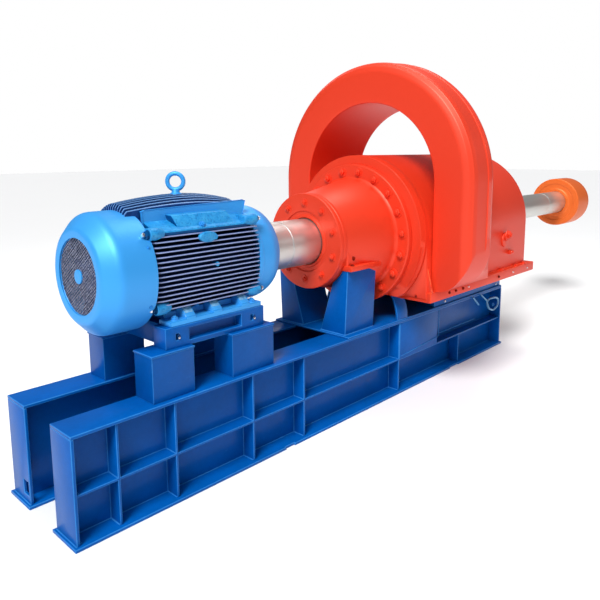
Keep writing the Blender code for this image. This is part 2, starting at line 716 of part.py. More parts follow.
def scroll_ring():
    """Horseshoe scroll: one section carried up a leg, over the top and down the other leg."""
    section = [(RING_FRONT, RING_INNER_R), (RING_REAR, RING_INNER_R), (RING_REAR, RING_REAR_R),
               (RIM[1], RIM_R), (RIM[0], RIM_R), (RIM[0], RING_OUTER_R), (RING_FRONT + 0.060, RING_OUTER_R),
               (RING_FRONT + 0.018, RING_OUTER_R - 0.018), (RING_FRONT, RING_OUTER_R - 0.060)]
    bm = bmesh.new()
    loop = [bm.verts.new((along(station), -radius, RING_FOOT_Z)) for station, radius in section]
    edges = [bm.edges.new((loop[i - 1], loop[i])) for i in range(len(loop))]
    centre = Vector((0.0, 0.0, RING_CENTRE_Z))
    lift = Vector((0.0, 0.0, RING_CENTRE_Z - RING_FOOT_Z))
    edges = carry(bm, edges, lift)
    turned_edges = bmesh.ops.spin(bm, geom=edges, axis=(1.0, 0.0, 0.0), cent=centre, dvec=(0, 0, 0),
                                  angle=-math.pi, steps=40, use_duplicate=False)
    edges = [item for item in turned_edges["geom_last"] if isinstance(item, bmesh.types.BMEdge)]
    carry(bm, edges, -lift)
    bmesh.ops.remove_doubles(bm, verts=bm.verts, dist=0.00001)
    bmesh.ops.holes_fill(bm, edges=[edge for edge in bm.edges if edge.is_boundary], sides=0)
    bmesh.ops.recalc_face_normals(bm, faces=bm.faces)
    mesh = bpy.data.meshes.new("scroll_ring")
    bm.to_mesh(mesh)
    bm.free()
    ring = place("scroll_ring", mesh, "turbine_red")
    for label, side in SIDES:
        boolean(ring, leg_cutter(label, side))
    return smooth(ring)


def carry(bm, edges, offset):
    """Extrude a loop of edges by an offset and return the moved edges."""
    made = bmesh.ops.extrude_edge_only(bm, edges=edges)["geom"]
    verts = [item for item in made if isinstance(item, bmesh.types.BMVert)]
    bmesh.ops.translate(bm, vec=offset, verts=verts)
    return [item for item in made if isinstance(item, bmesh.types.BMEdge)
            and all(vert in made for vert in item.verts)]


def leg_cutter(label, side):
    """Region outside the leg's foot, whose outer wall curves in to the foot flange."""
    reach = RIM_R + 0.05
    drop = LEG_CURVE_TOP - RING_FOOT_Z
    inset = RIM_R - LEG_FOOT_OUTER
    curve = []
    count = 12
    for index in range(count + 1):
        angle = math.pi / 2 * index / count
        curve.append((side * (RIM_R - inset * (1 - math.cos(angle))),
                      LEG_CURVE_TOP - drop * math.sin(angle)))
    points = curve + [(side * LEG_FOOT_OUTER, RING_FOOT_Z - 0.05), (side * reach, RING_FOOT_Z - 0.05),
                      (side * reach, LEG_CURVE_TOP)]
    return outline_solid(f"{label}_leg_cutter", None, points,
                         (along(RING_FRONT - 0.1), along(RING_REAR + 0.1)))


def casing_end_cover():
    bore = TAIL_R + RUNNING_GAP
    start = CASING[1] + GAP
    profile = [(COVER_NOSE_LENGTH, COVER_NOSE_R), (COVER_PLATE_T, COVER_NOSE_R),
               (COVER_PLATE_T, COVER_PLATE_R), (0.0, COVER_PLATE_R), (0.0, bore),
               (COVER_NOSE_LENGTH, bore)]
    return smooth(turned("casing_end_cover", "turbine_red", profile, start, 48, True))


# Rotor
def shaft():
    """One stepped shaft from the motor fan to the coupling hub."""
    start, end = SHAFT_ENDS
    points = [(end, 0.0), (end, TAIL_R), (SHAFT_STEP_DOWN, TAIL_R), (SHAFT_STEP_DOWN, SHAFT_R),
              (SHAFT_STEP_UP, SHAFT_R), (SHAFT_STEP_UP, MOTOR_SHAFT_R), (start, MOTOR_SHAFT_R),
              (start, 0.0)]
    profile = [(station - start, radius) for station, radius in points]
    return smooth(turned("shaft", "polished_steel", profile, start, 48))


def coupling_hub():
    length = HUB[1] - HUB[0]
    bore = TAIL_R + ROUND_GAP
    depth = SHAFT_ENDS[1] - HUB[0] + ROUND_GAP
    chamfer = HUB_CHAMFER
    profile = [(length, 0.0), (length, HUB_R - chamfer), (length - chamfer, HUB_R), (chamfer, HUB_R),
               (0.0, HUB_R - chamfer), (0.0, bore), (depth, bore), (depth, 0.0)]
    return smooth(turned("coupling_hub", "hub_orange", profile, HUB[0], 56))


clear_scene()
SET = new_collection("turbine_set")
CUTTERS = new_collection("cutters")
for side_label, side_sign in SIDES:
    girder(side_label, side_sign)
cross_beams()
deck()
motor_pedestals()
motor_bed()
motor_frame()
motor_feet()
fan_cowl()
fan_grille()
end_shields()
terminal_box()
eyebolt()
motor_fan()
bearing_pedestals()
bearing_cover()
bearing_housing()
saddle_arch()
casing()
foot_flanges()
sole_blocks()
scroll_ring()
casing_end_cover()
shaft()
coupling_hub()
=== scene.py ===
"""Finished looks of a motor-driven horizontal turbine on its steel skid.

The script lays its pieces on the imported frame: painted plate, welds, bolts, the finned motor, the
bolted bearing drum, the horseshoe scroll and the running shaft. It is laid out as an add-on with
one operator for each group of pieces, and is run as a script.

Metres, +Z up, +X along the shaft from the motor to the turbine. Stations are distances from the
skid's motor end, and the near side is the one with negative Y.
"""
import math

import bmesh
import bpy
from mathutils import Matrix, Vector


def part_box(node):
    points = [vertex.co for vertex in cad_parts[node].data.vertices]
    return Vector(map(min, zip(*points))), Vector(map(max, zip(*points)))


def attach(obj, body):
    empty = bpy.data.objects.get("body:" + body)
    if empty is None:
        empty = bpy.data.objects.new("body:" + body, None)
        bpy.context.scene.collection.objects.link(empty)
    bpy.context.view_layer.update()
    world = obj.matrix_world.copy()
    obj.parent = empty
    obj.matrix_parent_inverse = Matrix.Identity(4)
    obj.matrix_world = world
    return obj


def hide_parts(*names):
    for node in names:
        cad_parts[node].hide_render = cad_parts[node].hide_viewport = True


bl_info = {
    "name": "Turbine set dressing",
    "version": (1, 0, 0),
    "blender": (4, 5, 0),
    "location": "View3D > Sidebar > Turbine set",
    "description": "Builds the finished pieces of a skid-mounted turbine set on its frame",
    "category": "Object",
}

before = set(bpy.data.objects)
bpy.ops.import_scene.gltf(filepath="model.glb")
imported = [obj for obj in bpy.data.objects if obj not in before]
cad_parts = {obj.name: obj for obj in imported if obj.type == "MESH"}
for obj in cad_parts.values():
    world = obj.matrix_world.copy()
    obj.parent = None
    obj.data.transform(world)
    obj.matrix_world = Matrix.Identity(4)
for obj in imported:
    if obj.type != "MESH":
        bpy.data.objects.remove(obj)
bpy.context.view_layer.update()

# Places taken from the frame
SKID_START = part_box("near_top_plate")[0].x
AXIS_Z = (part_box("shaft")[0].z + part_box("shaft")[1].z) / 2
SKID_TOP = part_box("near_top_plate")[1].z
DECK_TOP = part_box("deck_plate")[1].z
FLANGE_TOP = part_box("near_foot_flange")[1].z
FLANGE_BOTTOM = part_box("near_foot_flange")[0].z
GIRDER_OUTER = -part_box("near_top_plate")[0].y
SIDES = (("near", -1), ("far", 1))
TURNING_STEPS = 128
BED_SLOTS = (0.690, 1.255)


def along(station):
    """X of a station measured from the skid's motor end."""
    return SKID_START + station


# Sizes and colours that a user may change
def length(name, description, default):
    return bpy.props.FloatProperty(name=name, description=description, default=default, min=0.0001,
                                   unit="LENGTH", subtype="DISTANCE", precision=4)


def colour(name, description, default):
    return bpy.props.FloatVectorProperty(name=name, description=description, default=default, size=3,
                                         min=0.0, max=1.0, subtype="COLOR")


def count(name, description, default):
    return bpy.props.IntProperty(name=name, description=description, default=default, min=1, max=400)


class TurbineSizes(bpy.types.PropertyGroup):
    """Sizes of the fittings."""
    plate_edge: length("Plate edge", "Rounding of the plate edges", 0.0035)
    weld_radius: length("Weld", "Radius of a fillet weld's bead", 0.0055)
    cover_bolt: length("Cover bolt", "Radius of the cover bolts' heads over the corners", 0.021)
    flange_bolt: length("Flange bolt", "Radius of the drum flange bolts' heads over the corners", 0.027)
    foot_bolt: length("Foot bolt", "Radius of the foot bolts' heads over the corners", 0.017)
    motor_bolt: length("Motor bolt", "Radius of the motor bolts' heads over the corners", 0.018)
    small_screw: length("Small screw", "Radius of small screw heads over the corners", 0.008)
    grille_wire: length("Grille wire", "Radius of the fan grille's wire", 0.0022)
    grille_pitch: length("Grille pitch", "Height of one opening of the grille", 0.0185)
    fin_thickness: length("Fin", "Thickness of a cooling fin at its root", 0.010)
    side_fins: count("Side fins", "Cooling fins on each side of the motor", 16)
    top_fins: count("Top fins", "Cooling fins on top of the motor", 12)
    cover_bolts: count("Cover bolts", "Bolts round the bearing cover", 10)
    flange_bolts: count("Flange bolts", "Bolts round the drum flange", 19)


class TurbineColours(bpy.types.PropertyGroup):
    """Paints and metals."""
    skid_blue: colour("Skid blue", "Gloss paint of the skid", (0.000, 0.095, 0.400))
    motor_blue: colour("Motor blue", "Gloss paint of the motor", (0.001, 0.165, 0.560))
    cast_blue: colour("Cast blue", "Lighter paint of the motor's rough castings", (0.008, 0.210, 0.520))
    # Dark navy that stands for the shade between the fins and inside the fan cowl: a painted shade.
    fin_navy: colour("Fin navy", "Dark paint between the fins", (0.001, 0.022, 0.110))
    turbine_red: colour("Turbine red", "Gloss paint of the turbine", (0.690, 0.028, 0.006))
    hub_orange: colour("Hub orange", "Paint of the coupling hub", (0.560, 0.085, 0.008))
    steel: colour("Steel", "Turned and polished shaft", (0.460, 0.440, 0.410))
    wire: colour("Wire", "Fan grille", (0.330, 0.350, 0.480))
    floor: colour("Floor", "Pale studio floor", (0.900, 0.900, 0.900))


def sizes():
    return bpy.context.scene.turbine_sizes


def colours():
    return bpy.context.scene.turbine_colours


# Node trees written as expressions
class Flow:
    """A node's socket, on which plain expressions add Math nodes."""

    def __init__(self, bench, socket):
        self.bench = bench
        self.socket = socket

    def maths(self, operation, *values):
        return self.bench.add("ShaderNodeMath", {"operation": operation}, dict(enumerate(values)))

    def __add__(self, other):
        return self.maths("ADD", self, other)

    def __mul__(self, other):
        return self.maths("MULTIPLY", self, other)

    def __sub__(self, other):
        return self.maths("SUBTRACT", self, other)

    def __rsub__(self, other):
        return self.maths("SUBTRACT", other, self)

    def __truediv__(self, other):
        return self.maths("DIVIDE", self, other)

    def __pow__(self, other):
        return self.maths("POWER", self, other)

    __radd__ = __add__
    __rmul__ = __mul__

    def between(self, low, high):
        """0 below `low`, 1 above `high` and a soft step between them."""
        return self.bench.add("ShaderNodeMapRange", {"interpolation_type": "SMOOTHSTEP"},
                              {"Value": self, "From Min": low, "From Max": high})


class Bench:
    """Adds nodes to one tree."""

    def __init__(self, node_tree):
        self.tree = node_tree

    def add(self, kind, settings=None, values=None, output=0):
        """New node with its settings made first, then its sockets' values or links."""
        node = self.tree.nodes.new(kind)
        for key, value in (settings or {}).items():
            if key == "stops":
                for index, (position, shade) in enumerate(value):
                    if index > 1:
                        node.color_ramp.elements.new(position)
                    node.color_ramp.elements[index].position = position
                    node.color_ramp.elements[index].color = (*shade, 1.0)
            else:
                setattr(node, key, value)
        for key, value in (values or {}).items():
            if isinstance(value, Flow):
                self.tree.links.new(value.socket, node.inputs[key])
            else:
                node.inputs[key].default_value = value
        return Flow(self, node.outputs[output]) if node.outputs else None

    def mix(self, factor, first, second):
        first, second = [(*c, 1.0) if isinstance(c, tuple) and len(c) == 3 else c for c in (first, second)]
        return self.add("ShaderNodeMix", {"data_type": "RGBA"}, {0: factor, 6: first, 7: second}, 2)

    def noise(self, place, scale, detail=2.0, roughness=0.5):
        return self.add("ShaderNodeTexNoise", None,
                        {"Vector": place, "Scale": scale, "Detail": detail, "Roughness": roughness})

    def stretched(self, place, scale):
        return self.add("ShaderNodeMapping", None, {"Vector": place, "Scale": scale})


# Paints and metals
FINISHES = {}


def finish(name):
    """Material by its finish's name, made once."""
    if name not in bpy.data.materials:
        maker, values = FINISHES[name]
        material = bpy.data.materials.new(name)
        material.use_nodes = True
        material.node_tree.nodes.clear()
        maker(Bench(material.node_tree), **values())
    return bpy.data.materials[name]


def surface(bench, varying, fixed):
    """Principled shader joined to the output; `fixed` values stay on its own sockets."""
    shader = bench.add("ShaderNodeBsdfPrincipled", None, {**fixed, **varying})
    bench.add("ShaderNodeOutputMaterial", None, {"Surface": shader})


def shade(base, factor):
    return tuple(min(1.0, channel * factor) for channel in base)


def tint(base, other, amount):
    return tuple(a + (b - a) * amount for a, b in zip(base, other))


def object_place(bench):
    return bench.add("ShaderNodeTexCoord", output="Object")


def gloss_paint(bench, base, pale, deep, roughness=0.34, peel=0.10, coat=0.06, wear=0.25, shine=0.10):
    """Sprayed gloss paint: soft clouds of tone, orange peel and small scuffs."""
    place = object_place(bench)
    cloud = bench.noise(place, 2.6, 4.0, 0.62)
    mottle = bench.noise(place, 38.0, 3.0, 0.6)
    fine = bench.noise(place, 340.0, 2.0, 0.55)
    scuff = bench.noise(bench.stretched(place, (9.0, 30.0, 30.0)), 3.0, 5.0, 0.7).between(0.62, 0.72)
    tone = (cloud * 0.7 + mottle * 0.3).between(0.32, 0.70)
    body = bench.mix(tone, deep, base)
    body = bench.mix(scuff * wear, body, pale)
    peel_height = fine * 0.4 + mottle * 0.6 + cloud * 2.5
    bump = bench.add("ShaderNodeBump", None, {"Strength": peel, "Distance": 0.004, "Height": peel_height})
    surface(bench, {"Base Color": body, "Roughness": mottle * 0.10 + scuff * 0.12 + (roughness - 0.05),
                    "Normal": bump},
            {"Coat Weight": coat, "Coat Roughness": 0.07, "Specular IOR Level": shine})


def cast_paint(bench, base, pale, deep, roughness=0.42, grit=0.35):
    """Brushed paint over rough casting skin, with pale specks on its high spots."""
    place = object_place(bench)
    lump = bench.noise(place, 24.0, 4.0, 0.6)
    skin = bench.noise(place, 150.0, 4.0, 0.65)
    speck = bench.noise(place, 95.0, 2.0, 0.5).between(0.58, 0.66)
    pits = bench.noise(place, 70.0, 3.0, 0.55).between(0.36, 0.44)
    body = bench.mix(lump.between(0.35, 0.68), base, pale)
    body = bench.mix(speck * 0.30, body, shade(pale, 1.2))
    body = bench.mix((1.0 - pits) * 0.60, body, deep)
    bump = bench.add("ShaderNodeBump", None,
                     {"Strength": grit, "Distance": 0.003, "Height": skin * 0.7 + lump * 1.4})
    surface(bench, {"Base Color": body, "Roughness": skin * 0.25 + (roughness - 0.1), "Normal": bump},
            {"Coat Weight": 0.05, "Coat Roughness": 0.25, "Specular IOR Level": 0.25})


def fin_paint(bench, base, tip, deep, roughness=0.36):
    """Paint that is deep navy at a fin's root and sides, a painted shade, and pale at its tip, a painted highlight, by
    the mesh's "tip" attribute.
    """
    place = object_place(bench)
    edge = bench.add("ShaderNodeAttribute", {"attribute_name": "tip"}, output=2)
    patch = bench.noise(place, 30.0, 4.0, 0.65)
    fine = bench.noise(place, 210.0, 3.0, 0.6)
    body = bench.mix(patch.between(0.3, 0.7), deep, base)
    # Pale at the tips: a painted highlight where the fins' edges catch the light.
    lit_tips = (edge * (patch * 0.5 + 0.78)).between(0.30, 0.85)
    body = bench.mix(lit_tips, body, bench.mix(fine.between(0.40, 0.62), shade(tip, 0.72), tip))
    bump = bench.add("ShaderNodeBump", None, {"Strength": 0.25, "Distance": 0.002, "Height": fine + patch})
    surface(bench, {"Base Color": body, "Roughness": fine * 0.2 + (roughness - 0.1), "Normal": bump},
            {"Coat Weight": 0.05, "Coat Roughness": 0.2, "Specular IOR Level": 0.25})


def turned_steel(bench, base, deep, roughness=0.17):
    """Polished shaft: fine turning lines round it, faint banding and a little handling grime."""
    place = object_place(bench)
    lines = bench.noise(bench.stretched(place, (420.0, 1.0, 1.0)), 1.0, 3.0, 0.7)
    bands = bench.noise(bench.stretched(place, (7.0, 0.6, 0.6)), 1.0, 2.0, 0.5)
    grime = bench.noise(place, 9.0, 5.0, 0.65).between(0.52, 0.74)
    body = bench.mix(lines.between(0.30, 0.70), shade(base, 0.86), base)
    body = bench.mix(grime * 0.35, body, deep)
    bump = bench.add("ShaderNodeBump", None, {"Strength": 0.10, "Distance": 0.0008, "Height": lines})
    surface(bench, {"Base Color": body,
                    "Roughness": lines * 0.08 + bands * 0.10 + grime * 0.12 + (roughness - 0.09),
                    "Normal": bump},
            {"Metallic": 1.0})


def worn_paint(bench, base, bare, deep, roughness=0.45):
    """Matt paint chipped to rust and primer where it is handled."""
    place = object_place(bench)
    cloud = bench.noise(place, 7.0, 4.0, 0.6)
    chips = bench.noise(place, 34.0, 6.0, 0.72).between(0.56, 0.60)
    fine = bench.noise(place, 190.0, 3.0, 0.6)
    body = bench.mix(cloud.between(0.3, 0.72), deep, base)
    body = bench.mix(chips, body, bench.mix(fine, shade(bare, 0.5), bare))
    bump = bench.add("ShaderNodeBump", None,
                     {"Strength": 0.35, "Distance": 0.002, "Height": fine * 0.5 - chips * 0.8 + cloud})
    surface(bench, {"Base Color": body, "Roughness": chips * 0.25 + fine * 0.1 + (roughness - 0.05),
                    "Normal": bump}, {"Specular IOR Level": 0.4})


def drawn_wire(bench, base, deep, metallic=0.5):
    """Zinc-coated wire, dull and faintly streaked."""
    place = object_place(bench)
    streak = bench.noise(place, 60.0, 4.0, 0.6)
    fine = bench.noise(place, 420.0, 2.0, 0.5)
    body = bench.mix(streak.between(0.35, 0.65), deep, base)
    bump = bench.add("ShaderNodeBump", None, {"Strength": 0.2, "Distance": 0.0006, "Height": fine})
    surface(bench, {"Base Color": body, "Roughness": streak * 0.3 + 0.25, "Normal": bump},
            {"Metallic": metallic})


def studio_floor(bench, base):
    place = object_place(bench)
    cloud = bench.noise(place, 0.7, 3.0, 0.5)
    body = bench.mix(cloud, shade(base, 0.985), base)
    surface(bench, {"Base Color": body}, {"Roughness": 0.65})


def paint_set(name, key, pale, deep, **more):
    """Gloss paint with a paler copy for rounded edges, welds and small bolts, which is a painted highlight, and a
    darker copy, which is a painted shade.
    """
    def values(gain=1.0):
        base = tuple(getattr(colours(), key))
        return {"base": shade(base, gain), "pale": tint(base, pale, 0.45), "deep": shade(base, deep), **more}
    FINISHES[name] = (gloss_paint, values)
    # Paler copy: painted highlight on edges, welds and bolts.
    FINISHES[name + "_edge"] = (gloss_paint, lambda: {**values(1.15), "base": tint(values()["base"], pale, 0.34),
                                                      "deep": tint(values()["base"], pale, 0.16)})
    # Darker copy: painted shade in slots, holes, undersides and on shaded bolts.
    FINISHES[name + "_dark"] = (gloss_paint, lambda: {**values(0.45), "deep": shade(values()["base"], 0.2)})


PALE_BLUE = (0.09, 0.42, 0.80)
PALE_RED = (0.95, 0.17, 0.07)
paint_set("skid_blue", "skid_blue", PALE_BLUE, 0.80)
paint_set("motor_blue", "motor_blue", PALE_BLUE, 0.84, roughness=0.30, coat=0.14, shine=0.08)
paint_set("turbine_red", "turbine_red", PALE_RED, 0.84, roughness=0.28, coat=0.14, shine=0.08)
FINISHES["cast_blue"] = (cast_paint, lambda: {"base": tuple(colours().cast_blue),
                                              "pale": (0.030, 0.290, 0.600), "deep": (0.002, 0.110, 0.340)})
FINISHES["rib_blue"] = (cast_paint, lambda: {"base": (0.10, 0.30, 0.54), "pale": (0.22, 0.44, 0.64),
                                             "deep": (0.01, 0.15, 0.40)})
# Dark navy casting paint: a painted shade for the fin gaps and the inside of the cowl.
FINISHES["fin_navy"] = (cast_paint, lambda: {"base": tuple(colours().fin_navy), "pale": (0.004, 0.06, 0.24),
                                             "deep": (0.001, 0.010, 0.045)})
# The fins' dark navy is a painted shade between them; their pale tip colour is a painted highlight.
FINISHES["side_fin"] = (fin_paint, lambda: {"base": (0.002, 0.034, 0.150), "tip": (0.300, 0.380, 0.680),
                                            "deep": (0.001, 0.016, 0.080)})
FINISHES["top_fin"] = (fin_paint, lambda: {"base": (0.002, 0.040, 0.180), "tip": (0.110, 0.260, 0.560),
                                           "deep": (0.001, 0.018, 0.090)})
# Rim red: a paler base, which is a painted highlight, with a real glossier coat.
FINISHES["rim_red_gloss_and_painted_highlight"] = (gloss_paint, lambda: {"base": tint(tuple(colours().turbine_red), PALE_RED, 0.20),
                                             "deep": tuple(colours().turbine_red), "pale": PALE_RED,
                                             "coat": 0.3, "shine": 0.3})
FINISHES["rough_red"] = (cast_paint, lambda: {"base": shade(tuple(colours().turbine_red), 0.95),
                                              "pale": (0.95, 0.16, 0.06), "deep": (0.34, 0.012, 0.004)})
FINISHES["hub_orange"] = (worn_paint, lambda: {"base": tuple(colours().hub_orange), "bare": (0.20, 0.050, 0.018),
                                               "deep": shade(tuple(colours().hub_orange), 0.8)})
FINISHES["polished_steel"] = (turned_steel, lambda: {"base": tuple(colours().steel), "deep": (0.20, 0.17, 0.14)})
FINISHES["bright_steel"] = (turned_steel, lambda: {"base": (0.78, 0.78, 0.80), "deep": (0.3, 0.3, 0.3),
                                                   "roughness": 0.25})
FINISHES["grille_wire"] = (drawn_wire, lambda: {"base": tuple(colours().wire), "deep": (0.10, 0.12, 0.20)})
FINISHES["studio_floor"] = (studio_floor, lambda: {"base": tuple(colours().floor)})


# Mesh makers
def set_down(name, bm, finishes, stands_for=(), body="machine", degrees=32.0, recalc=True):
    """Turn a bmesh into a finished piece that rides on its body and may stand for frame nodes."""
    bmesh.ops.remove_doubles(bm, verts=bm.verts, dist=0.00001)
    if recalc:
        bmesh.ops.recalc_face_normals(bm, faces=bm.faces)
    mesh = bpy.data.meshes.new(name)
    bm.to_mesh(mesh)
    bm.free()
    for each in finishes:
        mesh.materials.append(finish(each))
    return hand_over(name, mesh, stands_for, body, degrees)


def hand_over(name, mesh, stands_for=(), body="machine", degrees=32.0):
    mesh.shade_smooth()
    mesh.set_sharp_from_angle(angle=math.radians(degrees))
    piece = bpy.data.objects.new(name, mesh)
    bpy.context.scene.collection.objects.link(piece)
    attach(piece, body)
    if stands_for:
        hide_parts(*stands_for)
    return piece


def soften(bm, width, degrees=30.0, segments=2, material=0, edges=None):
    """Round the edges sharper than an angle."""
    limit = math.radians(degrees)
    chosen = [e for e in (edges or bm.edges) if len(e.link_faces) == 2 and e.calc_face_angle(0.0) > limit]
    bmesh.ops.bevel(bm, geom=chosen, offset=width, offset_type="OFFSET", segments=segments, profile=0.5,
                    affect="EDGES", clamp_overlap=True, material=material)


def copy_node(node):
    """Clean bmesh of a frame node, its flat faces joined."""
    bm = bmesh.new()
    bm.from_mesh(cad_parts[node].data)
    bmesh.ops.remove_doubles(bm, verts=bm.verts, dist=0.00002)
    bmesh.ops.dissolve_limit(bm, angle_limit=math.radians(1.5), verts=bm.verts, edges=bm.edges)
    for face in bm.faces:
        face.material_index = 0
    return bm


def refinish(node, paint, width=None, degrees=30.0, segments=2, suffix="_painted"):
    """Frame node's shape with rounded edges in a paler paint, a painted highlight, standing for it."""
    bm = copy_node(node)
    soften(bm, width or sizes().plate_edge, degrees, segments, 1)
    return set_down(node + suffix, bm, (paint, paint + "_edge"), (node,), recalc=False)


def block(bm, x, y, z):
    """Box between pairs of values; returns its vertices."""
    spans = [sorted(span) for span in (x, y, z)]
    made = bmesh.ops.create_cube(bm, size=1.0)["verts"]
    bmesh.ops.scale(bm, vec=[high - low for low, high in spans], verts=made)
    bmesh.ops.translate(bm, vec=[(low + high) / 2 for low, high in spans], verts=made)
    return made


def prism(bm, outline, start, end, axis=0):
    """Outline of two-number points carried along an axis: Y,Z along X, or X,Z along Y, or X,Y along Z."""
    def spot(pair, value):
        point = list(pair)
        point.insert(axis, value)
        return bm.verts.new(point)
    near = [spot(pair, start) for pair in outline]
    far = [spot(pair, end) for pair in outline]
    faces = [bm.faces.new(near), bm.faces.new(list(reversed(far)))]
    for index in range(len(outline)):
        after = (index + 1) % len(outline)
        faces.append(bm.faces.new((near[index], far[index], far[after], near[after])))
    bmesh.ops.recalc_face_normals(bm, faces=faces)
    return faces


def rounded(corners, closed, steps=5):
    """Points of a line whose (a, b, fillet) corners are rounded; fillet 0 keeps a corner sharp."""
    points = []
    total = len(corners)
    for index, (a, b, fillet) in enumerate(corners):
        here = Vector((a, b))
        at_end = not closed and index in (0, total - 1)
        if fillet <= 0.0 or at_end:
            points.append((a, b))
            continue
        before = Vector(corners[index - 1][:2]) - here
        after = Vector(corners[(index + 1) % total][:2]) - here
        reach = min(fillet, before.length * 0.49, after.length * 0.49)
        first, last = here + before.normalized() * reach, here + after.normalized() * reach
        for step in range(steps + 1):
            t = step / steps
            spot = first * (1 - t) ** 2 + here * (2 * t * (1 - t)) + last * t ** 2
            points.append(tuple(spot))
    return points


def turned(bm, corners, closed=True, steps=TURNING_STEPS, centre_y=0.0, centre_z=AXIS_Z):
    """Turn (station, radius, fillet) corners about a line along X."""
    profile = rounded(corners, closed)
    rings = []
    for station, radius in profile:
        ring = []
        for step in range(steps):
            angle = math.tau * step / steps
            ring.append(bm.verts.new((along(station), centre_y + radius * math.cos(angle),
                                      centre_z + radius * math.sin(angle))))
        rings.append(ring)
    pairs = list(zip(rings, rings[1:]))
    if closed:
        pairs.append((rings[-1], rings[0]))
    made = []
    for first, second in pairs:
        for step in range(steps):
            after = (step + 1) % steps
            made.append(bm.faces.new((first[step], first[after], second[after], second[step])))
    return made


def cut_below(bm, height):
    """Cut a closed shape off at a height and close the cut."""
    bmesh.ops.remove_doubles(bm, verts=bm.verts, dist=0.00001)
    cut = bmesh.ops.bisect_plane(bm, geom=bm.verts[:] + bm.edges[:] + bm.faces[:], plane_co=(0.0, 0.0, height),
                                 plane_no=(0.0, 0.0, 1.0), clear_inner=True)["geom_cut"]
    bmesh.ops.holes_fill(bm, edges=[item for item in cut if isinstance(item, bmesh.types.BMEdge)], sides=0)


def tube(bm, path, radius, sides=10, closed=False):
    """Round bar along a list of points."""
    points = [Vector(point) for point in path]
    rings = []
    total = len(points)
    side = None
    for index, point in enumerate(points):
        before = points[index - 1] if closed or index else point
        after = points[(index + 1) % total] if closed or index < total - 1 else point
        direction = (after - before).normalized()
        side = direction.orthogonal() if side is None else side - direction * side.dot(direction)
        side.normalize()
        other = direction.cross(side)
        rings.append([bm.verts.new(point + (side * math.cos(math.tau * k / sides)
                                            + other * math.sin(math.tau * k / sides)) * radius)
                      for k in range(sides)])
    pairs = list(zip(rings, rings[1:])) + ([(rings[-1], rings[0])] if closed else [])
    for first, second in pairs:
        for k in range(sides):
            after = (k + 1) % sides
            bm.faces.new((first[k], first[after], second[after], second[k]))
    if not closed:
        bm.faces.new(list(reversed(rings[0])))
        bm.faces.new(rings[-1])


# Shapes grown by Geometry Nodes
def node_group(name, inputs):
    """Empty Geometry Nodes tree with named inputs; returns its bench and the inputs as flows."""
    group = bpy.data.node_groups.new(name, "GeometryNodeTree")
    group.interface.new_socket("Geometry", in_out="INPUT", socket_type="NodeSocketGeometry")
    for label, kind in inputs:
        group.interface.new_socket(label, in_out="INPUT", socket_type="NodeSocket" + kind)
    group.interface.new_socket("Geometry", in_out="OUTPUT", socket_type="NodeSocketGeometry")
    bench = Bench(group)
    start = group.nodes.new("NodeGroupInput")
    return bench, {socket.name: Flow(bench, socket) for socket in start.outputs if socket.name}


def close_group(bench, shape, material):
    whole = bench.add("GeometryNodeRealizeInstances", None, {"Geometry": shape})
    coated = bench.add("GeometryNodeSetMaterial", None, {"Geometry": whole, "Material": material})
    bench.add("NodeGroupOutput", None, {0: coated})


def grow(name, seed, group, values, stands_for=(), body="machine", degrees=32.0):
    """Run a tree on a seed mesh and hand over the plain mesh it makes."""
    holder = bpy.data.objects.new(name + "_seed", seed)
    bpy.context.scene.collection.objects.link(holder)
    modifier = holder.modifiers.new("shape", "NODES")
    modifier.node_group = group
    for socket in group.interface.items_tree:
        if socket.item_type == "SOCKET" and socket.in_out == "INPUT" and socket.name in values:
            modifier[socket.identifier] = values[socket.name]
    mesh = bpy.data.meshes.new_from_object(holder.evaluated_get(bpy.context.evaluated_depsgraph_get()))
    bpy.data.objects.remove(holder, do_unlink=True)
    if not mesh.polygons:
        raise RuntimeError(f"{name} came out empty")
    mesh.name = name
    return hand_over(name, mesh, stands_for, body, degrees)


def seed_points(name, points, facings, radii):
    """Mesh of loose points that carry which way each fitting faces and how large it is."""
    mesh = bpy.data.meshes.new(name)
    mesh.from_pydata([tuple(point) for point in points], [], [])
    facing = mesh.attributes.new("facing", "FLOAT_VECTOR", "POINT")
    facing.data.foreach_set("vector", [value for vector in facings for value in vector])
    size = mesh.attributes.new("size", "FLOAT", "POINT")
    size.data.foreach_set("value", list(radii))
    return mesh


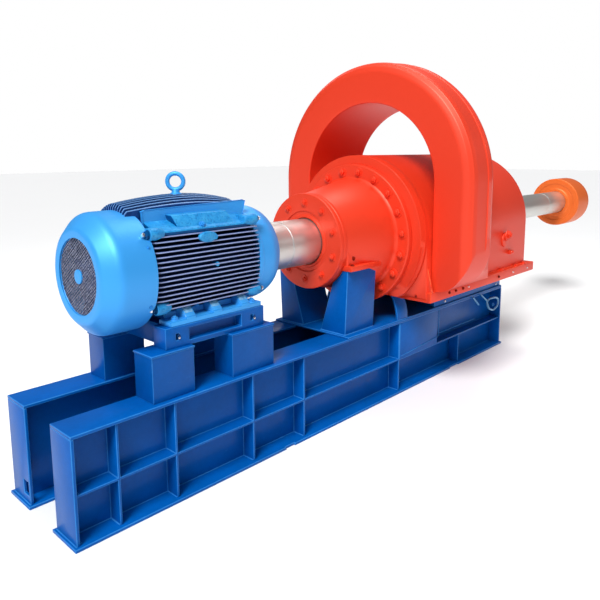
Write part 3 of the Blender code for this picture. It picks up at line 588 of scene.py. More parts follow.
def bolt_group(material, washer=1.45, tip=0.55):
    """Hex bolts with washers and stud tips on the seed's points, each turned by chance."""
    bench, flows = node_group("bolts", [("Seed", "Int")])
    parts = []
    for vertices, top, bottom, depth, lift in ((20, washer - 0.06, washer, 0.16, 0.0), (6, 1.0, 1.0, 0.62, 0.15),
                                               (6, 0.82, 1.0, 0.10, 0.77), (14, tip, tip, 0.26, 0.86),
                                               (14, tip * 0.72, tip, 0.08, 1.12)):
        stub = bench.add("GeometryNodeMeshCone", None, {"Vertices": vertices, "Radius Top": top,
                                                        "Radius Bottom": bottom, "Depth": depth})
        parts.append(bench.add("GeometryNodeTransform", None,
                               {"Geometry": stub, "Translation": (0.0, 0.0, lift)}))
    joined = bench.tree.nodes.new("GeometryNodeJoinGeometry")
    for part in reversed(parts):
        bench.tree.links.new(part.socket, joined.inputs[0])
    facing = bench.add("GeometryNodeInputNamedAttribute", {"data_type": "FLOAT_VECTOR"}, {"Name": "facing"})
    size = bench.add("GeometryNodeInputNamedAttribute", {"data_type": "FLOAT"}, {"Name": "size"})
    spin = bench.add("FunctionNodeRandomValue", {"data_type": "FLOAT"}, {2: 0.0, 3: math.tau, "Seed": flows["Seed"]}, 1)
    aligned = bench.add("FunctionNodeAlignRotationToVector", {"axis": "Z"}, {"Vector": facing})
    twist = bench.add("FunctionNodeAxisAngleToRotation", None, {"Axis": (0.0, 0.0, 1.0), "Angle": spin})
    pose = bench.add("FunctionNodeRotateRotation", {"rotation_space": "LOCAL"},
                     {"Rotation": aligned, "Rotate By": twist})
    placed = bench.add("GeometryNodeInstanceOnPoints", None,
                       {"Points": flows["Geometry"], "Instance": Flow(bench, joined.outputs[0]),
                        "Rotation": pose, "Scale": size})
    close_group(bench, placed, material)
    return bench.tree


def bolts(name, spots, paint, seed=1, washer=1.45, tip=0.55, body="machine"):
    """Bolts at (point, facing, head radius) spots."""
    points, facings, radii = zip(*spots)
    mesh = seed_points(name + "_points", points, facings, radii)
    return grow(name, mesh, bolt_group(finish(paint), washer, tip), {"Seed": seed}, (), body)


def ring_spots(station, radius, number, size, first=0.0, faces=-1, skip=()):
    """Spots evenly round the shaft line; angles run from the near side up over the top."""
    spots = []
    for index in range(number):
        if index in skip:
            continue
        angle = math.radians(first + 360.0 * index / number)
        spots.append(((along(station), -radius * math.cos(angle), AXIS_Z + radius * math.sin(angle)),
                      (faces, 0.0, 0.0), size))
    return spots


def weld_group(material):
    """Rippled bead along the seed's lines."""
    bench, flows = node_group("weld", [("Radius", "Float"), ("Step", "Float"), ("Ripple", "Float")])
    line = bench.add("GeometryNodeMeshToCurve", None, {"Mesh": flows["Geometry"]})
    line = bench.add("GeometryNodeResampleCurve", {"mode": "LENGTH"}, {"Curve": line, "Length": flows["Step"]})
    place = bench.add("GeometryNodeInputPosition")
    ripple = bench.noise(place, 70.0, 2.0)
    scale = flows["Radius"] * ((ripple - 0.5) * flows["Ripple"] + 1.0)
    circle = bench.add("GeometryNodeCurvePrimitiveCircle", {"mode": "RADIUS"}, {"Resolution": 7, "Radius": 1.0})
    bead = bench.add("GeometryNodeCurveToMesh", None,
                     {"Curve": line, "Profile Curve": circle, "Scale": scale, "Fill Caps": True})
    close_group(bench, bead, material)
    return bench.tree


def welds(name, lines, paint, radius=None, step=0.012, ripple=1.2):
    """Weld beads along lists of points."""
    verts, edges = [], []
    for line in lines:
        first = len(verts)
        verts += [tuple(point) for point in line]
        edges += [(first + k, first + k + 1) for k in range(len(line) - 1)]
    mesh = bpy.data.meshes.new(name + "_lines")
    mesh.from_pydata(verts, edges, [])
    return grow(name, mesh, weld_group(finish(paint)),
                {"Radius": radius or sizes().weld_radius, "Step": step, "Ripple": ripple}, degrees=70.0)


def row_group(material):
    """Rows of one seed shape, each further one moved by a pitch and scaled in its reach."""
    bench, flows = node_group("row", [("Count", "Int"), ("First", "Vector"), ("Pitch", "Vector"),
                                      ("Half span", "Float"), ("Drop", "Float"), ("Power", "Float")])
    line = bench.add("GeometryNodeMeshLine", {"mode": "OFFSET"},
                     {"Count": flows["Count"], "Start Location": flows["First"], "Offset": flows["Pitch"]})
    place = bench.add("GeometryNodeInputPosition")
    size = bench.add("ShaderNodeVectorMath", {"operation": "LENGTH"}, {0: place}, 1)
    reach = 1.0 - flows["Drop"] * ((size / flows["Half span"]) ** flows["Power"])
    scale = bench.add("ShaderNodeCombineXYZ", None, {"X": 1.0, "Y": reach, "Z": 1.0})
    placed = bench.add("GeometryNodeInstanceOnPoints", None,
                       {"Points": line, "Instance": flows["Geometry"], "Scale": scale})
    close_group(bench, placed, material)
    return bench.tree


def grille_group(material):
    """Diamond wire mesh cut to a disc."""
    bench, flows = node_group("grille", [("Pitch", "Float"), ("Widen", "Float"), ("Radius", "Float"),
                                         ("Wire", "Float")])
    grid = bench.add("GeometryNodeMeshGrid", None,
                     {"Size X": flows["Pitch"] * 26.0, "Size Y": flows["Pitch"] * 26.0,
                      "Vertices X": 37, "Vertices Y": 37})
    turned_grid = bench.add("GeometryNodeTransform", None,
                            {"Geometry": grid, "Rotation": (0.0, 0.0, math.pi / 4)})
    widened = bench.add("ShaderNodeCombineXYZ", None, {"X": flows["Widen"], "Y": 1.0, "Z": 1.0})
    net = bench.add("GeometryNodeTransform", None, {"Geometry": turned_grid, "Scale": widened})
    place = bench.add("GeometryNodeInputPosition")
    distance = bench.add("ShaderNodeVectorMath", {"operation": "LENGTH"}, {0: place}, 1)
    outside = distance.maths("GREATER_THAN", distance, flows["Radius"])
    disc = bench.add("GeometryNodeDeleteGeometry", {"domain": "POINT"}, {"Geometry": net, "Selection": outside})
    lines = bench.add("GeometryNodeMeshToCurve", None, {"Mesh": disc})
    circle = bench.add("GeometryNodeCurvePrimitiveCircle", {"mode": "RADIUS"},
                       {"Resolution": 5, "Radius": flows["Wire"]})
    wires = bench.add("GeometryNodeCurveToMesh", None,
                      {"Curve": lines, "Profile Curve": circle, "Fill Caps": True})
    upright = bench.add("GeometryNodeTransform", None,
                        {"Geometry": wires, "Rotation": (math.pi / 2, 0.0, math.pi / 2)})
    close_group(bench, upright, material)
    return bench.tree


# Operators, one for each group of pieces
class Dressing(bpy.types.Operator):
    """Base of the operators: builds its pieces and reports that it is done."""
    bl_options = {"REGISTER", "UNDO"}

    def execute(self, context):
        self.make()
        return {"FINISHED"}


def girder_faces(side):
    """Y of the outer face of the web and of the outer lips, on one side."""
    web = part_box(("near" if side < 0 else "far") + "_web")
    return side * max(abs(web[0].y), abs(web[1].y)), side * GIRDER_OUTER


class TURBINE_OT_skid(Dressing):
    """Painted plates of the two girders, the cross beams and the deck"""
    bl_idname = "turbine.skid"
    bl_label = "Skid plates"

    def make(self):
        parts = ("top_plate", "bottom_plate", "web", "motor_end_plate", "turbine_end_plate", "stiffeners",
                 "sole_block")
        for label, side in SIDES:
            for part in parts:
                refinish(f"{label}_{part}", "skid_blue")
        for index in range(1, 5):
            refinish(f"cross_beam_{index}", "skid_blue")
        refinish("deck_plate", "skid_blue")


class TURBINE_OT_skid_welds(Dressing):
    """Weld beads in the girders' corners"""
    bl_idname = "turbine.skid_welds"
    bl_label = "Skid welds"

    def make(self):
        lines = []
        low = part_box("near_bottom_plate")[1].z
        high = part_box("near_top_plate")[0].z
        for label, side in SIDES:
            web_y, outer = girder_faces(side)
            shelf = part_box(f"{label}_stiffeners")
            ribs = (0.018, 0.246, 0.606, 1.186, 1.649, 2.772, 4.542)
            shelf_low, shelf_high = 0.270, 0.284
            face = side * (abs(shelf[0].y if side < 0 else shelf[1].y) - 0.012)
            start, end = along(0.022), along(4.538)
            for z in (low, high, shelf_low, shelf_high):
                lines.append([(start, web_y, z), (end, web_y, z)])
            for rib in ribs:
                for x in (along(rib), along(rib + 0.014)):
                    if not start <= x <= end:
                        continue
                    for bottom, top in ((low, shelf_low), (shelf_high, high)):
                        lines.append([(x, web_y, bottom), (x, web_y, top)])
                        lines.append([(x, web_y, bottom), (x, face, bottom)])
                        lines.append([(x, web_y, top), (x, face, top)])
            inner = side * 0.159
            for x in (along(0.0), along(4.56)):
                lines.append([(x, inner, low), (x, outer, low)])
        # Beads in the paler paint: a painted highlight along the welds.
        welds("skid_weld_beads", lines, "skid_blue_edge", 0.0042)


class TURBINE_OT_tie_down(Dressing):
    """Shackle ring and flat bars on the near girder"""
    bl_idname = "turbine.tie_down"
    bl_label = "Tie-down ring"

    def make(self):
        y = -0.391
        ring = [(4.276, 0.519), (4.423, 0.511), (4.480, 0.484), (4.474, 0.419), (4.379, 0.385), (4.281, 0.419),
                (4.233, 0.494)]
        corners = rounded([(along(station), z, 0.030) for station, z in ring], True, 6)
        bm = bmesh.new()
        tube(bm, [(x, y, z) for x, z in corners], 0.0095, 12, True)
        for (x0, z0), (x1, z1) in (((3.960, 0.588), (4.070, 0.498)), ((4.112, 0.588), (4.250, 0.500))):
            tube(bm, [(along(x0), y, z0), (along(x1), y, z1)], 0.0075, 10)
        set_down("tie_down_ring", bm, ("rib_blue",))
        # Bolt in the paler paint, a painted highlight.
        bolts("tie_down_bolt", [((along(4.390), -0.3795, 0.441), (0.0, -1.0, 0.0), 0.012)], "skid_blue_edge",
              43)
        seam = [(3.122, 0.326), (3.350, 0.340), (3.363, 0.345), (3.373, 0.371), (4.019, 0.369)]
        face = -0.3795
        # Beads in the paler paint: a painted highlight along the welds.
        welds("patch_weld_beads", [[(along(station), face, z) for station, z in seam],
                                   [(along(2.790), face, 0.304), (along(3.122), face, 0.326)],
                                   [(along(3.370), face, 0.372), (along(3.370), face, 0.580)]],
              "skid_blue_edge", 0.0036)


class TURBINE_OT_motor_bed(Dressing):
    """Pedestals, rails and channels under the motor"""
    bl_idname = "turbine.motor_bed"
    bl_label = "Motor bed"

    def make(self):
        lines = []
        for label, side in SIDES:
            for end in ("fan_end", "drive_end"):
                node = f"{label}_{end}_pedestal"
                refinish(node, "skid_blue")
                low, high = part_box(node)
                lip = 0.014
                x0, x1, y0, y1 = low.x + lip, high.x - lip, low.y + lip, high.y - lip
                z = SKID_TOP + 0.001
                lines.append([(x0, y0, z), (x1, y0, z), (x1, y1, z), (x0, y1, z), (x0, y0, z)])
            refinish(f"{label}_bed_rail", "skid_blue", 0.0025)
        for end in ("fan_end", "drive_end"):
            refinish(f"bed_channel_{end}", "skid_blue")
        # Beads in the paler paint: a painted highlight along the welds.
        welds("pedestal_welds", lines, "skid_blue_edge", 0.006)
        # Ovals in the darker paint stand for the shade inside the rail slots: a painted shade.
        bm = bmesh.new()
        for label, side in SIDES:
            low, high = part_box(f"{label}_bed_rail")
            face = high.y if side > 0 else low.y
            for station in BED_SLOTS:
                middle = (low.z + high.z) / 2
                slot = [(along(station) + 0.010 * math.cos(math.tau * k / 24),
                         middle + 0.017 * math.sin(math.tau * k / 24)) for k in range(24)]
                prism(bm, slot, face - side * 0.010, face + side * 0.0008, axis=1)
        set_down("bed_rail_slot_shade", bm, ("skid_blue_dark",))
        spots = []
        for label, side in SIDES:
            low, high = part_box(f"{label}_bed_rail")
            for station in BED_SLOTS:
                spots.append(((along(station), high.y if side > 0 else low.y, (low.z + high.z) / 2 - 0.006),
                              (0.0, side, 0.0), 0.0065))
        bolts("bed_rail_screws", spots, "bright_steel", 47, 1.05)


class TURBINE_OT_fan_cowl(Dressing):
    """Pressed fan cowl with its flat mouth and screws"""
    bl_idname = "turbine.fan_cowl"
    bl_label = "Fan cowl"

    def make(self):
        low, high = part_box("fan_cowl")
        start, rear = low.x - SKID_START, high.x - SKID_START
        radius = (high.z - low.z) / 2
        mouth, sheet = 0.212, 0.006
        bm = bmesh.new()
        outer = [(rear, radius - 0.002, 0.0), (rear - 0.012, radius, 0.002), (rear - 0.150, radius, 0.02),
                 (start + 0.078, radius - 0.001, 0.050), (start + 0.006, 0.268, 0.022),
                 (start, 0.250, 0.008), (start + 0.001, mouth, 0.004)]
        inner = [(start + 0.010, mouth, 0.004), (start + 0.012, 0.246, 0.010),
                 (start + 0.070, radius - sheet - 0.016, 0.03), (rear, radius - sheet - 0.004, 0.0)]
        turned(bm, outer + inner)
        set_down("fan_cowl_shell", bm, ("motor_blue",), ("fan_cowl",))
        spots = []
        for angle in (28, 152, 208, 332):
            a = math.radians(angle)
            out = (0.0, -math.cos(a), math.sin(a))
            spots.append(((along(rear - 0.030), out[1] * (radius - 0.001), AXIS_Z + out[2] * (radius - 0.001)),
                          out, sizes().small_screw))
        # Screws in the paler paint, a painted highlight.
        bolts("fan_cowl_screws", spots, "motor_blue_edge", 3)


class TURBINE_OT_fan_grille(Dressing):
    """Diamond wire grille with its centre cap over the fan"""
    bl_idname = "turbine.fan_grille"
    bl_label = "Fan grille"

    def make(self):
        low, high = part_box("fan_grille")
        centre = (low.x + high.x) / 2
        seed = bpy.data.meshes.new("grille_seed")
        piece = grow("fan_grille_wires", seed, grille_group(finish("grille_wire")),
                     {"Pitch": sizes().grille_pitch, "Widen": 1.45, "Radius": 0.219,
                      "Wire": sizes().grille_wire}, ("fan_grille",))
        piece.data.transform(Matrix.Translation((centre, 0.0, AXIS_Z)))
        bm = bmesh.new()
        station = centre - SKID_START
        tube(bm, [(centre, 0.216 * math.cos(math.tau * k / 72), AXIS_Z + 0.216 * math.sin(math.tau * k / 72))
                  for k in range(72)], 0.004, 8, True)
        turned(bm, [(station + 0.003, 0.0, 0.0), (station + 0.003, 0.040, 0.002), (station - 0.009, 0.040, 0.004),
                    (station - 0.011, 0.018, 0.006), (station - 0.009, 0.0, 0.0)], False, 40)
        set_down("fan_grille_cap", bm, ("motor_blue",))


class TURBINE_OT_motor_fan(Dressing):
    """Fan behind the grille"""
    bl_idname = "turbine.motor_fan"
    bl_label = "Motor fan"

    def make(self):
        bm = copy_node("motor_fan")
        soften(bm, 0.002, 40.0, 1)
        # The fan gets the dark navy, a painted shade inside the cowl.
        set_down("motor_fan_painted", bm, ("fin_navy",), ("motor_fan",), "rotor", recalc=False)


class TURBINE_OT_motor_frame(Dressing):
    """Barrel of the motor with its side shelves and the smooth top panels"""
    bl_idname = "turbine.motor_frame"
    bl_label = "Motor frame"

    def make(self):
        low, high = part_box("motor_frame")
        start, end = low.x, high.x
        barrel = 0.268
        right = [(0.205, low.z), (0.222, low.z + 0.02)]
        for degrees in range(-38, 40, 4):
            a = math.radians(degrees)
            right.append((barrel * math.cos(a), AXIS_Z + barrel * math.sin(a)))
        right += [(0.170, AXIS_Z + 0.225), (0.150, AXIS_Z + 0.290), (0.120, AXIS_Z + 0.300)]
        outline = right + [(-y, z) for y, z in reversed(right)]
        bm = bmesh.new()
        prism(bm, outline, start + 0.004, end)
        soften(bm, 0.006, 60.0, 2)
        # The barrel between the fins is painted dark navy, a painted shade.
        set_down("motor_barrel", bm, ("fin_navy",), ("motor_frame",))
        for label, side in SIDES:
            bm = bmesh.new()
            shelf = [(side * 0.158, AXIS_Z + 0.285), (side * 0.276, AXIS_Z + 0.237),
                     (side * 0.281, AXIS_Z + 0.230), (side * 0.281, AXIS_Z + 0.202), (side * 0.200, AXIS_Z + 0.202)]
            faces = prism(bm, shelf, along(0.590), along(1.276))
            # Faces below the shelf's top get the darker paint, a painted shade under the shelf; the top keeps the cast
            # paint.
            for face in faces:
                level = face.calc_center_median()
                face.material_index = 0 if level.z > AXIS_Z + 0.233 else 1
            soften(bm, 0.005, 30.0, 3)
            set_down(f"{label}_motor_shelf", bm, ("cast_blue", "motor_blue_dark"))
            bm = bmesh.new()
            panel = [(along(0.586), AXIS_Z + 0.262), (along(1.300), AXIS_Z + 0.262), (along(1.338), AXIS_Z + 0.354),
                     (along(1.322), AXIS_Z + 0.363), (along(0.604), AXIS_Z + 0.346), (along(0.588), AXIS_Z + 0.338)]
            prism(bm, panel, 0.0, 0.014, axis=1)
            for vert in bm.verts:
                lean = (vert.co.z - AXIS_Z - 0.262) / 0.10
                vert.co.y = side * (vert.co.y + 0.155 - 0.015 * lean)
            # The rounded edges get the paler paint, a painted highlight.
            soften(bm, 0.004, 30.0, 3, 1)
            set_down(f"{label}_top_panel", bm, ("motor_blue", "motor_blue_edge"))


def fin_seed(name, outline, thickness, tip_edge, axis):
    """One tapered fin: an outline of (x, reach) points, thin at its tips, with the "tip" attribute.

    The fin stands out along Y and is thick along Z (axis 2), or stands up along Z and is thick along
    Y (axis 1).
    """
    bm = bmesh.new()
    layer = bm.verts.layers.float.new("tip")
    inner = [(x, max(0.0, reach - tip_edge)) for x, reach in outline]
    rows = [(outline, 0.62, 1.0), (inner, 0.80, 0.0), ([(x, 0.0) for x, _ in outline], 1.0, 0.0)]
    grid = []
    for direction in (-1, 1):
        sheet = []
        for points, share, tip in rows:
            line = []
            for x, reach in points:
                half = direction * thickness / 2 * share
                vert = bm.verts.new((x, reach, half) if axis == 2 else (x, half, reach))
                vert[layer] = tip
                line.append(vert)
            sheet.append(line)
        grid.append(sheet)
    number = len(outline)
    for sheet in grid:
        for upper, lower in zip(sheet, sheet[1:]):
            for k in range(number - 1):
                bm.faces.new((upper[k], upper[k + 1], lower[k + 1], lower[k]))
    front, back = grid
    for k in range(number - 1):
        bm.faces.new((front[0][k], front[0][k + 1], back[0][k + 1], back[0][k]))
        bm.faces.new((front[-1][k], front[-1][k + 1], back[-1][k + 1], back[-1][k]))
    for k in (0, number - 1):
        for row in range(len(rows) - 1):
            bm.faces.new((front[row][k], front[row + 1][k], back[row + 1][k], back[row][k]))
    bmesh.ops.remove_doubles(bm, verts=bm.verts, dist=0.00001)
    bmesh.ops.recalc_face_normals(bm, faces=bm.faces)
    mesh = bpy.data.meshes.new(name)
    bm.to_mesh(mesh)
    bm.free()
    return mesh


class TURBINE_OT_side_fins(Dressing):
    """Horizontal cooling fins on both sides of the motor"""
    bl_idname = "turbine.side_fins"
    bl_label = "Side fins"

    def make(self):
        low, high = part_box("motor_frame")
        root, reach = 0.185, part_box("motor_frame")[1].y - 0.185
        total = sizes().side_fins
        bottom, top = -0.200, 0.205
        outline = [(low.x + 0.006, reach * 0.55), (low.x + 0.008, reach * 0.78), (low.x + 0.018, reach * 0.91),
                   (low.x + 0.036, reach * 0.98), (low.x + 0.060, reach), (high.x - 0.020, reach),
                   (high.x - 0.006, reach * 0.985), (high.x, reach * 0.95)]
        for label, side in SIDES:
            seed = fin_seed(f"{label}_fin", outline, sizes().fin_thickness, 0.010, 2)
            values = {"Count": total, "First": (0.0, 0.0, bottom),
                      "Pitch": (0.0, 0.0, (top - bottom) / (total - 1)), "Half span": top,
                      "Drop": 0.18, "Power": 3.0}
            piece = grow(f"{label}_side_fins", seed, row_group(finish("side_fin")), values)
            turn = Matrix.Translation((0.0, side * root, AXIS_Z)) @ Matrix.Diagonal((1.0, side, 1.0, 1.0))
            piece.data.transform(turn)
            if side < 0:
                piece.data.flip_normals()


class TURBINE_OT_top_fins(Dressing):
    """Upright cooling fins on top of the motor"""
    bl_idname = "turbine.top_fins"
    bl_label = "Top fins"

    def make(self):
        low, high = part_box("motor_frame")
        foot = 0.250
        start, end = along(0.494), along(1.318)
        crown = along(0.930)

        def crest(x):
            fall = 0.20 if x < crown else 0.34
            return 0.4175 - fall * (x - crown) ** 2 - foot

        outline = [(start, 0.045), (start + 0.002, crest(start) * 0.86), (start + 0.016, crest(start + 0.016))]
        outline += [(start + 0.016 + (end - start - 0.042) * k / 10,
                     crest(start + 0.016 + (end - start - 0.042) * k / 10)) for k in range(1, 11)]
        outline += [(end - 0.010, crest(end) * 0.86), (end, 0.045)]
        seed = fin_seed("top_fin", outline, 0.009, 0.006, 1)
        total = sizes().top_fins
        half = 0.132
        values = {"Count": total, "First": (0.0, -half, 0.0), "Pitch": (0.0, 2 * half / (total - 1), 0.0),
                  "Half span": half, "Drop": 0.0, "Power": 2.0}
        piece = grow("top_cooling_fins", seed, row_group(finish("top_fin")), values)
        drop = 0.048
        for vert in piece.data.vertices:
            lift = vert.co.z / crest(crown)
            vert.co.z -= drop * lift * (vert.co.y / half) ** 2
        piece.data.transform(Matrix.Translation((0.0, 0.0, AXIS_Z + foot)))


class TURBINE_OT_end_shields(Dressing):
    """Bell-shaped drive-end shield and the bracket inside the cowl"""
    bl_idname = "turbine.end_shields"
    bl_label = "End shields"

    def make(self):
        low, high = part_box("drive_end_shield")
        start, end = low.x - SKID_START, high.x - SKID_START
        radius, bore = (high.z - low.z) / 2, 0.177
        bm = bmesh.new()
        turned(bm, [(end, 0.215, 0.004), (end - 0.035, 0.215, 0.006), (end - 0.042, 0.256, 0.012),
                    (end - 0.075, 0.290, 0.030), (start + 0.130, radius - 0.002, 0.045),
                    (start + 0.034, radius - 0.003, 0.004), (start + 0.030, radius, 0.003),
                    (start, radius, 0.002), (start, bore, 0.002), (end, bore, 0.002)])
        set_down("drive_end_bell", bm, ("motor_blue",), ("drive_end_shield",))
        bm = copy_node("fan_end_shield")
        # The bracket inside the cowl gets the dark navy, a painted shade.
        set_down("fan_end_bracket", bm, ("fin_navy",), ("fan_end_shield",), recalc=False)


class TURBINE_OT_motor_feet(Dressing):
    """Cast feet with sloping ribs, and their bolts"""
    bl_idname = "turbine.motor_feet"
    bl_label = "Motor feet"

    def make(self):
        spots = []
        for label, side in SIDES:
            node = f"{label}_motor_foot"
            bm = copy_node(node)
            # The rounded edges get the paler paint, a painted highlight.
            soften(bm, 0.004, 30.0, 2, 1)
            set_down(f"{label}_cast_foot", bm, ("motor_blue", "motor_blue_edge"), (node,),
                     recalc=False)
            low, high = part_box(node)
            outer = max(abs(low.y), abs(high.y))
            bm = bmesh.new()
            for station in (0.745, 0.940, 1.155):
                plank = [(side * 0.2375, high.z + 0.003), (side * 0.264, high.z + 0.003),
                         (side * (outer + 0.001), low.z + 0.036), (side * (outer - 0.006), low.z + 0.024),
                         (side * 0.2375, low.z + 0.024)]
                prism(bm, plank, along(station + 0.006), along(station + 0.064))
            soften(bm, 0.003, 30.0, 2)
            set_down(f"{label}_foot_planks", bm, ("rib_blue",))
            for station in (0.690, 1.268):
                spots.append(((along(station), side * 0.282, low.z + 0.030), (0.0, 0.0, 1.0),
                              sizes().motor_bolt * 1.15))
            spots.append(((along(0.880), side * 0.236, high.z - 0.020), (0.0, side * 0.8, 0.6), 0.011))
        bolts("motor_foot_bolts", spots, "motor_blue", 5)


class TURBINE_OT_motor_lugs(Dressing):
    """Corner lugs with clamping bolts and studs, and small bosses on the frame"""
    bl_idname = "turbine.motor_lugs"
    bl_label = "Motor lugs"

    def make(self):
        spots, tips = [], []
        bm = bmesh.new()
        places = ((0.545, 1.520), (1.312, 1.545), (0.572, 1.103), (1.330, 1.098))
        for label, side in SIDES:
            for station, z in places:
                ahead = station < 1.0
                x0, x1 = (station, station + 0.095) if ahead else (station - 0.095, station)
                turned(bm, [(x0, 0.0, 0.0), (x0, 0.034, 0.006), (x0 + 0.045, 0.036, 0.010), (x1, 0.024, 0.008),
                            (x1, 0.0, 0.0)] if ahead else
                       [(x0, 0.0, 0.0), (x0, 0.024, 0.008), (x1 - 0.045, 0.036, 0.010), (x1, 0.034, 0.006),
                        (x1, 0.0, 0.0)], False, 28, side * 0.276, z)
                block(bm, (along(x0 + 0.010), along(x1 - 0.010)), (side * 0.200, side * 0.276),
                      (z - 0.026, z + 0.026))
                face = -1.0 if ahead else 1.0
                x = along(x0 if ahead else x1)
                spots.append(((x, side * 0.276, z), (face, 0.0, 0.0), 0.022))
                tips.append(((x + face * 0.022, side * 0.276, z), (face, 0.0, 0.0), 0.0145))
        set_down("motor_corner_lugs", bm, ("cast_blue",))
        # Lug bolts in the darker paint, a painted shade round the bright studs.
        bolts("motor_lug_bolts", spots, "motor_blue_dark", 7, 1.25, 0.6)
        bolts("motor_lug_studs", tips, "bright_steel", 9, 0.9, 0.8)
        bm = bmesh.new()
        for side in (-1, 1):
            for station, z, size in ((0.972, 1.470, 0.016), (0.982, 1.308, 0.013)):
                stem = [(math.cos(math.tau * k / 20) * size + along(station), math.sin(math.tau * k / 20) * size + z)
                        for k in range(20)]
                prism(bm, stem, side * 0.250, side * 0.317, axis=1)
        set_down("motor_side_bosses", bm, ("cast_blue",))


class TURBINE_OT_terminal_block(Dressing):
    """Blank raised block and blank oval badge on the near shelf"""
    bl_idname = "turbine.terminal_block"
    bl_label = "Terminal block"

    def make(self):
        corners = ((0.760, 1.162, -0.262, 1.524), (0.756, 1.158, -0.258, 1.536), (0.734, 1.130, -0.223, 1.606),
                   (0.734, 1.130, -0.158, 1.608), (0.760, 1.162, -0.158, 1.524))
        bm = bmesh.new()
        near = [bm.verts.new((along(first), y, z)) for first, last, y, z in corners]
        far = [bm.verts.new((along(last), y, z)) for first, last, y, z in corners]
        total = len(corners)
        # The two end faces get the darker paint, a painted shade.
        bm.faces.new(near).material_index = 1
        bm.faces.new(list(reversed(far))).material_index = 1
        for k in range(total):
            after = (k + 1) % total
            bm.faces.new((near[k], far[k], far[after], near[after]))
        bmesh.ops.recalc_face_normals(bm, faces=bm.faces)
        soften(bm, 0.004, 25.0, 3)
        set_down("terminal_block", bm, ("cast_blue", "motor_blue_dark"), ("terminal_box",))
        bm = bmesh.new()
        badge = [(along(0.924) + 0.062 * math.cos(math.tau * k / 40),
                  AXIS_Z + 0.180 + 0.031 * math.sin(math.tau * k / 40)) for k in range(40)]
        prism(bm, badge, -0.290, -0.3165, axis=1)
        soften(bm, 0.005, 50.0, 3)
        set_down("blank_badge", bm, ("cast_blue",))
        # Screw in the paler paint, a painted highlight.
        bolts("shelf_screw", [((along(0.918), -0.262, AXIS_Z + 0.248), (0.0, -0.85, 0.5), 0.017)],
              "motor_blue_edge", 41, 1.3, 0.6)


class TURBINE_OT_eyebolt(Dressing):
    """Lifting eye on the motor"""
    bl_idname = "turbine.eyebolt"
    bl_label = "Lifting eye"

    def make(self):
        low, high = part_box("eyebolt")
        x, y = (low.x + high.x) / 2, (low.y + high.y) / 2
        wire, ring = 0.014, 0.048
        centre = high.z - ring - wire
        bm = bmesh.new()
        count_round = 48
        path = [(x + ring * math.cos(math.tau * k / count_round) * math.sqrt(0.5),
                 y - ring * math.cos(math.tau * k / count_round) * math.sqrt(0.5),
                 centre + ring * math.sin(math.tau * k / count_round)) for k in range(count_round)]
        tube(bm, path, wire - 0.0005, 16, True)
        base = low.z - 0.040
        profile = rounded([(base, 0.0, 0), (base, 0.034, 0.004), (low.z + 0.006, 0.036, 0.004),
                           (low.z + 0.012, 0.025, 0.004), (low.z + 0.034, 0.020, 0.006),
                           (centre - ring + 0.002, 0.012, 0.002), (centre - ring + 0.004, 0.0, 0)], False)
        rings = [[bm.verts.new((x + r * math.cos(math.tau * k / 32), y + r * math.sin(math.tau * k / 32), z))
                  for k in range(32)] for z, r in profile]
        for first, second in zip(rings, rings[1:]):
            for k in range(32):
                after = (k + 1) % 32
                bm.faces.new((first[k], first[after], second[after], second[k]))
        set_down("lifting_eye", bm, ("motor_blue",), ("eyebolt",))


class TURBINE_OT_bearing_pedestals(Dressing):
    """Tapered columns under the bearing housing"""
    bl_idname = "turbine.bearing_pedestals"
    bl_label = "Bearing pedestals"

    def make(self):
        lines = []
        for label, side in SIDES:
            refinish(f"{label}_bearing_pedestal", "skid_blue", 0.006, segments=3)
            low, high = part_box(f"{label}_bearing_pedestal")
            foot = 0.330 * side
            inner = 0.090 * side
            z = DECK_TOP + 0.001
            lines.append([(low.x, inner, z), (low.x, foot, z), (high.x, foot, z), (high.x, inner, z),
                          (low.x, inner, z)])
        # Beads in the paler paint: a painted highlight along the welds.
        welds("bearing_pedestal_welds", lines, "skid_blue_edge", 0.006)


class TURBINE_OT_bearing_cover(Dressing):
    """Bolted cover round the shaft"""
    bl_idname = "turbine.bearing_cover"
    bl_label = "Bearing cover"

    def make(self):
        low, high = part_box("bearing_cover")
        start, end = low.x - SKID_START, high.x - SKID_START
        radius, bore = (high.z - low.z) / 2, 0.177
        bm = bmesh.new()
        turned(bm, [(end, radius, 0.002), (start + 0.044, radius, 0.003), (start + 0.040, radius - 0.005, 0.003),
                    (start + 0.036, radius, 0.003), (start, radius, 0.007), (start, 0.228, 0.004),
                    (start + 0.010, 0.224, 0.004), (start + 0.010, 0.198, 0.004), (start + 0.002, 0.194, 0.003),
                    (start + 0.002, bore, 0.004), (end, bore, 0.002)])
        set_down("bearing_cover_plate", bm, ("turbine_red",), ("bearing_cover",))
        bolts("bearing_cover_bolts", ring_spots(start, 0.288, sizes().cover_bolts, sizes().cover_bolt, 18.0),
              "turbine_red", 11, 1.62, 0.5)


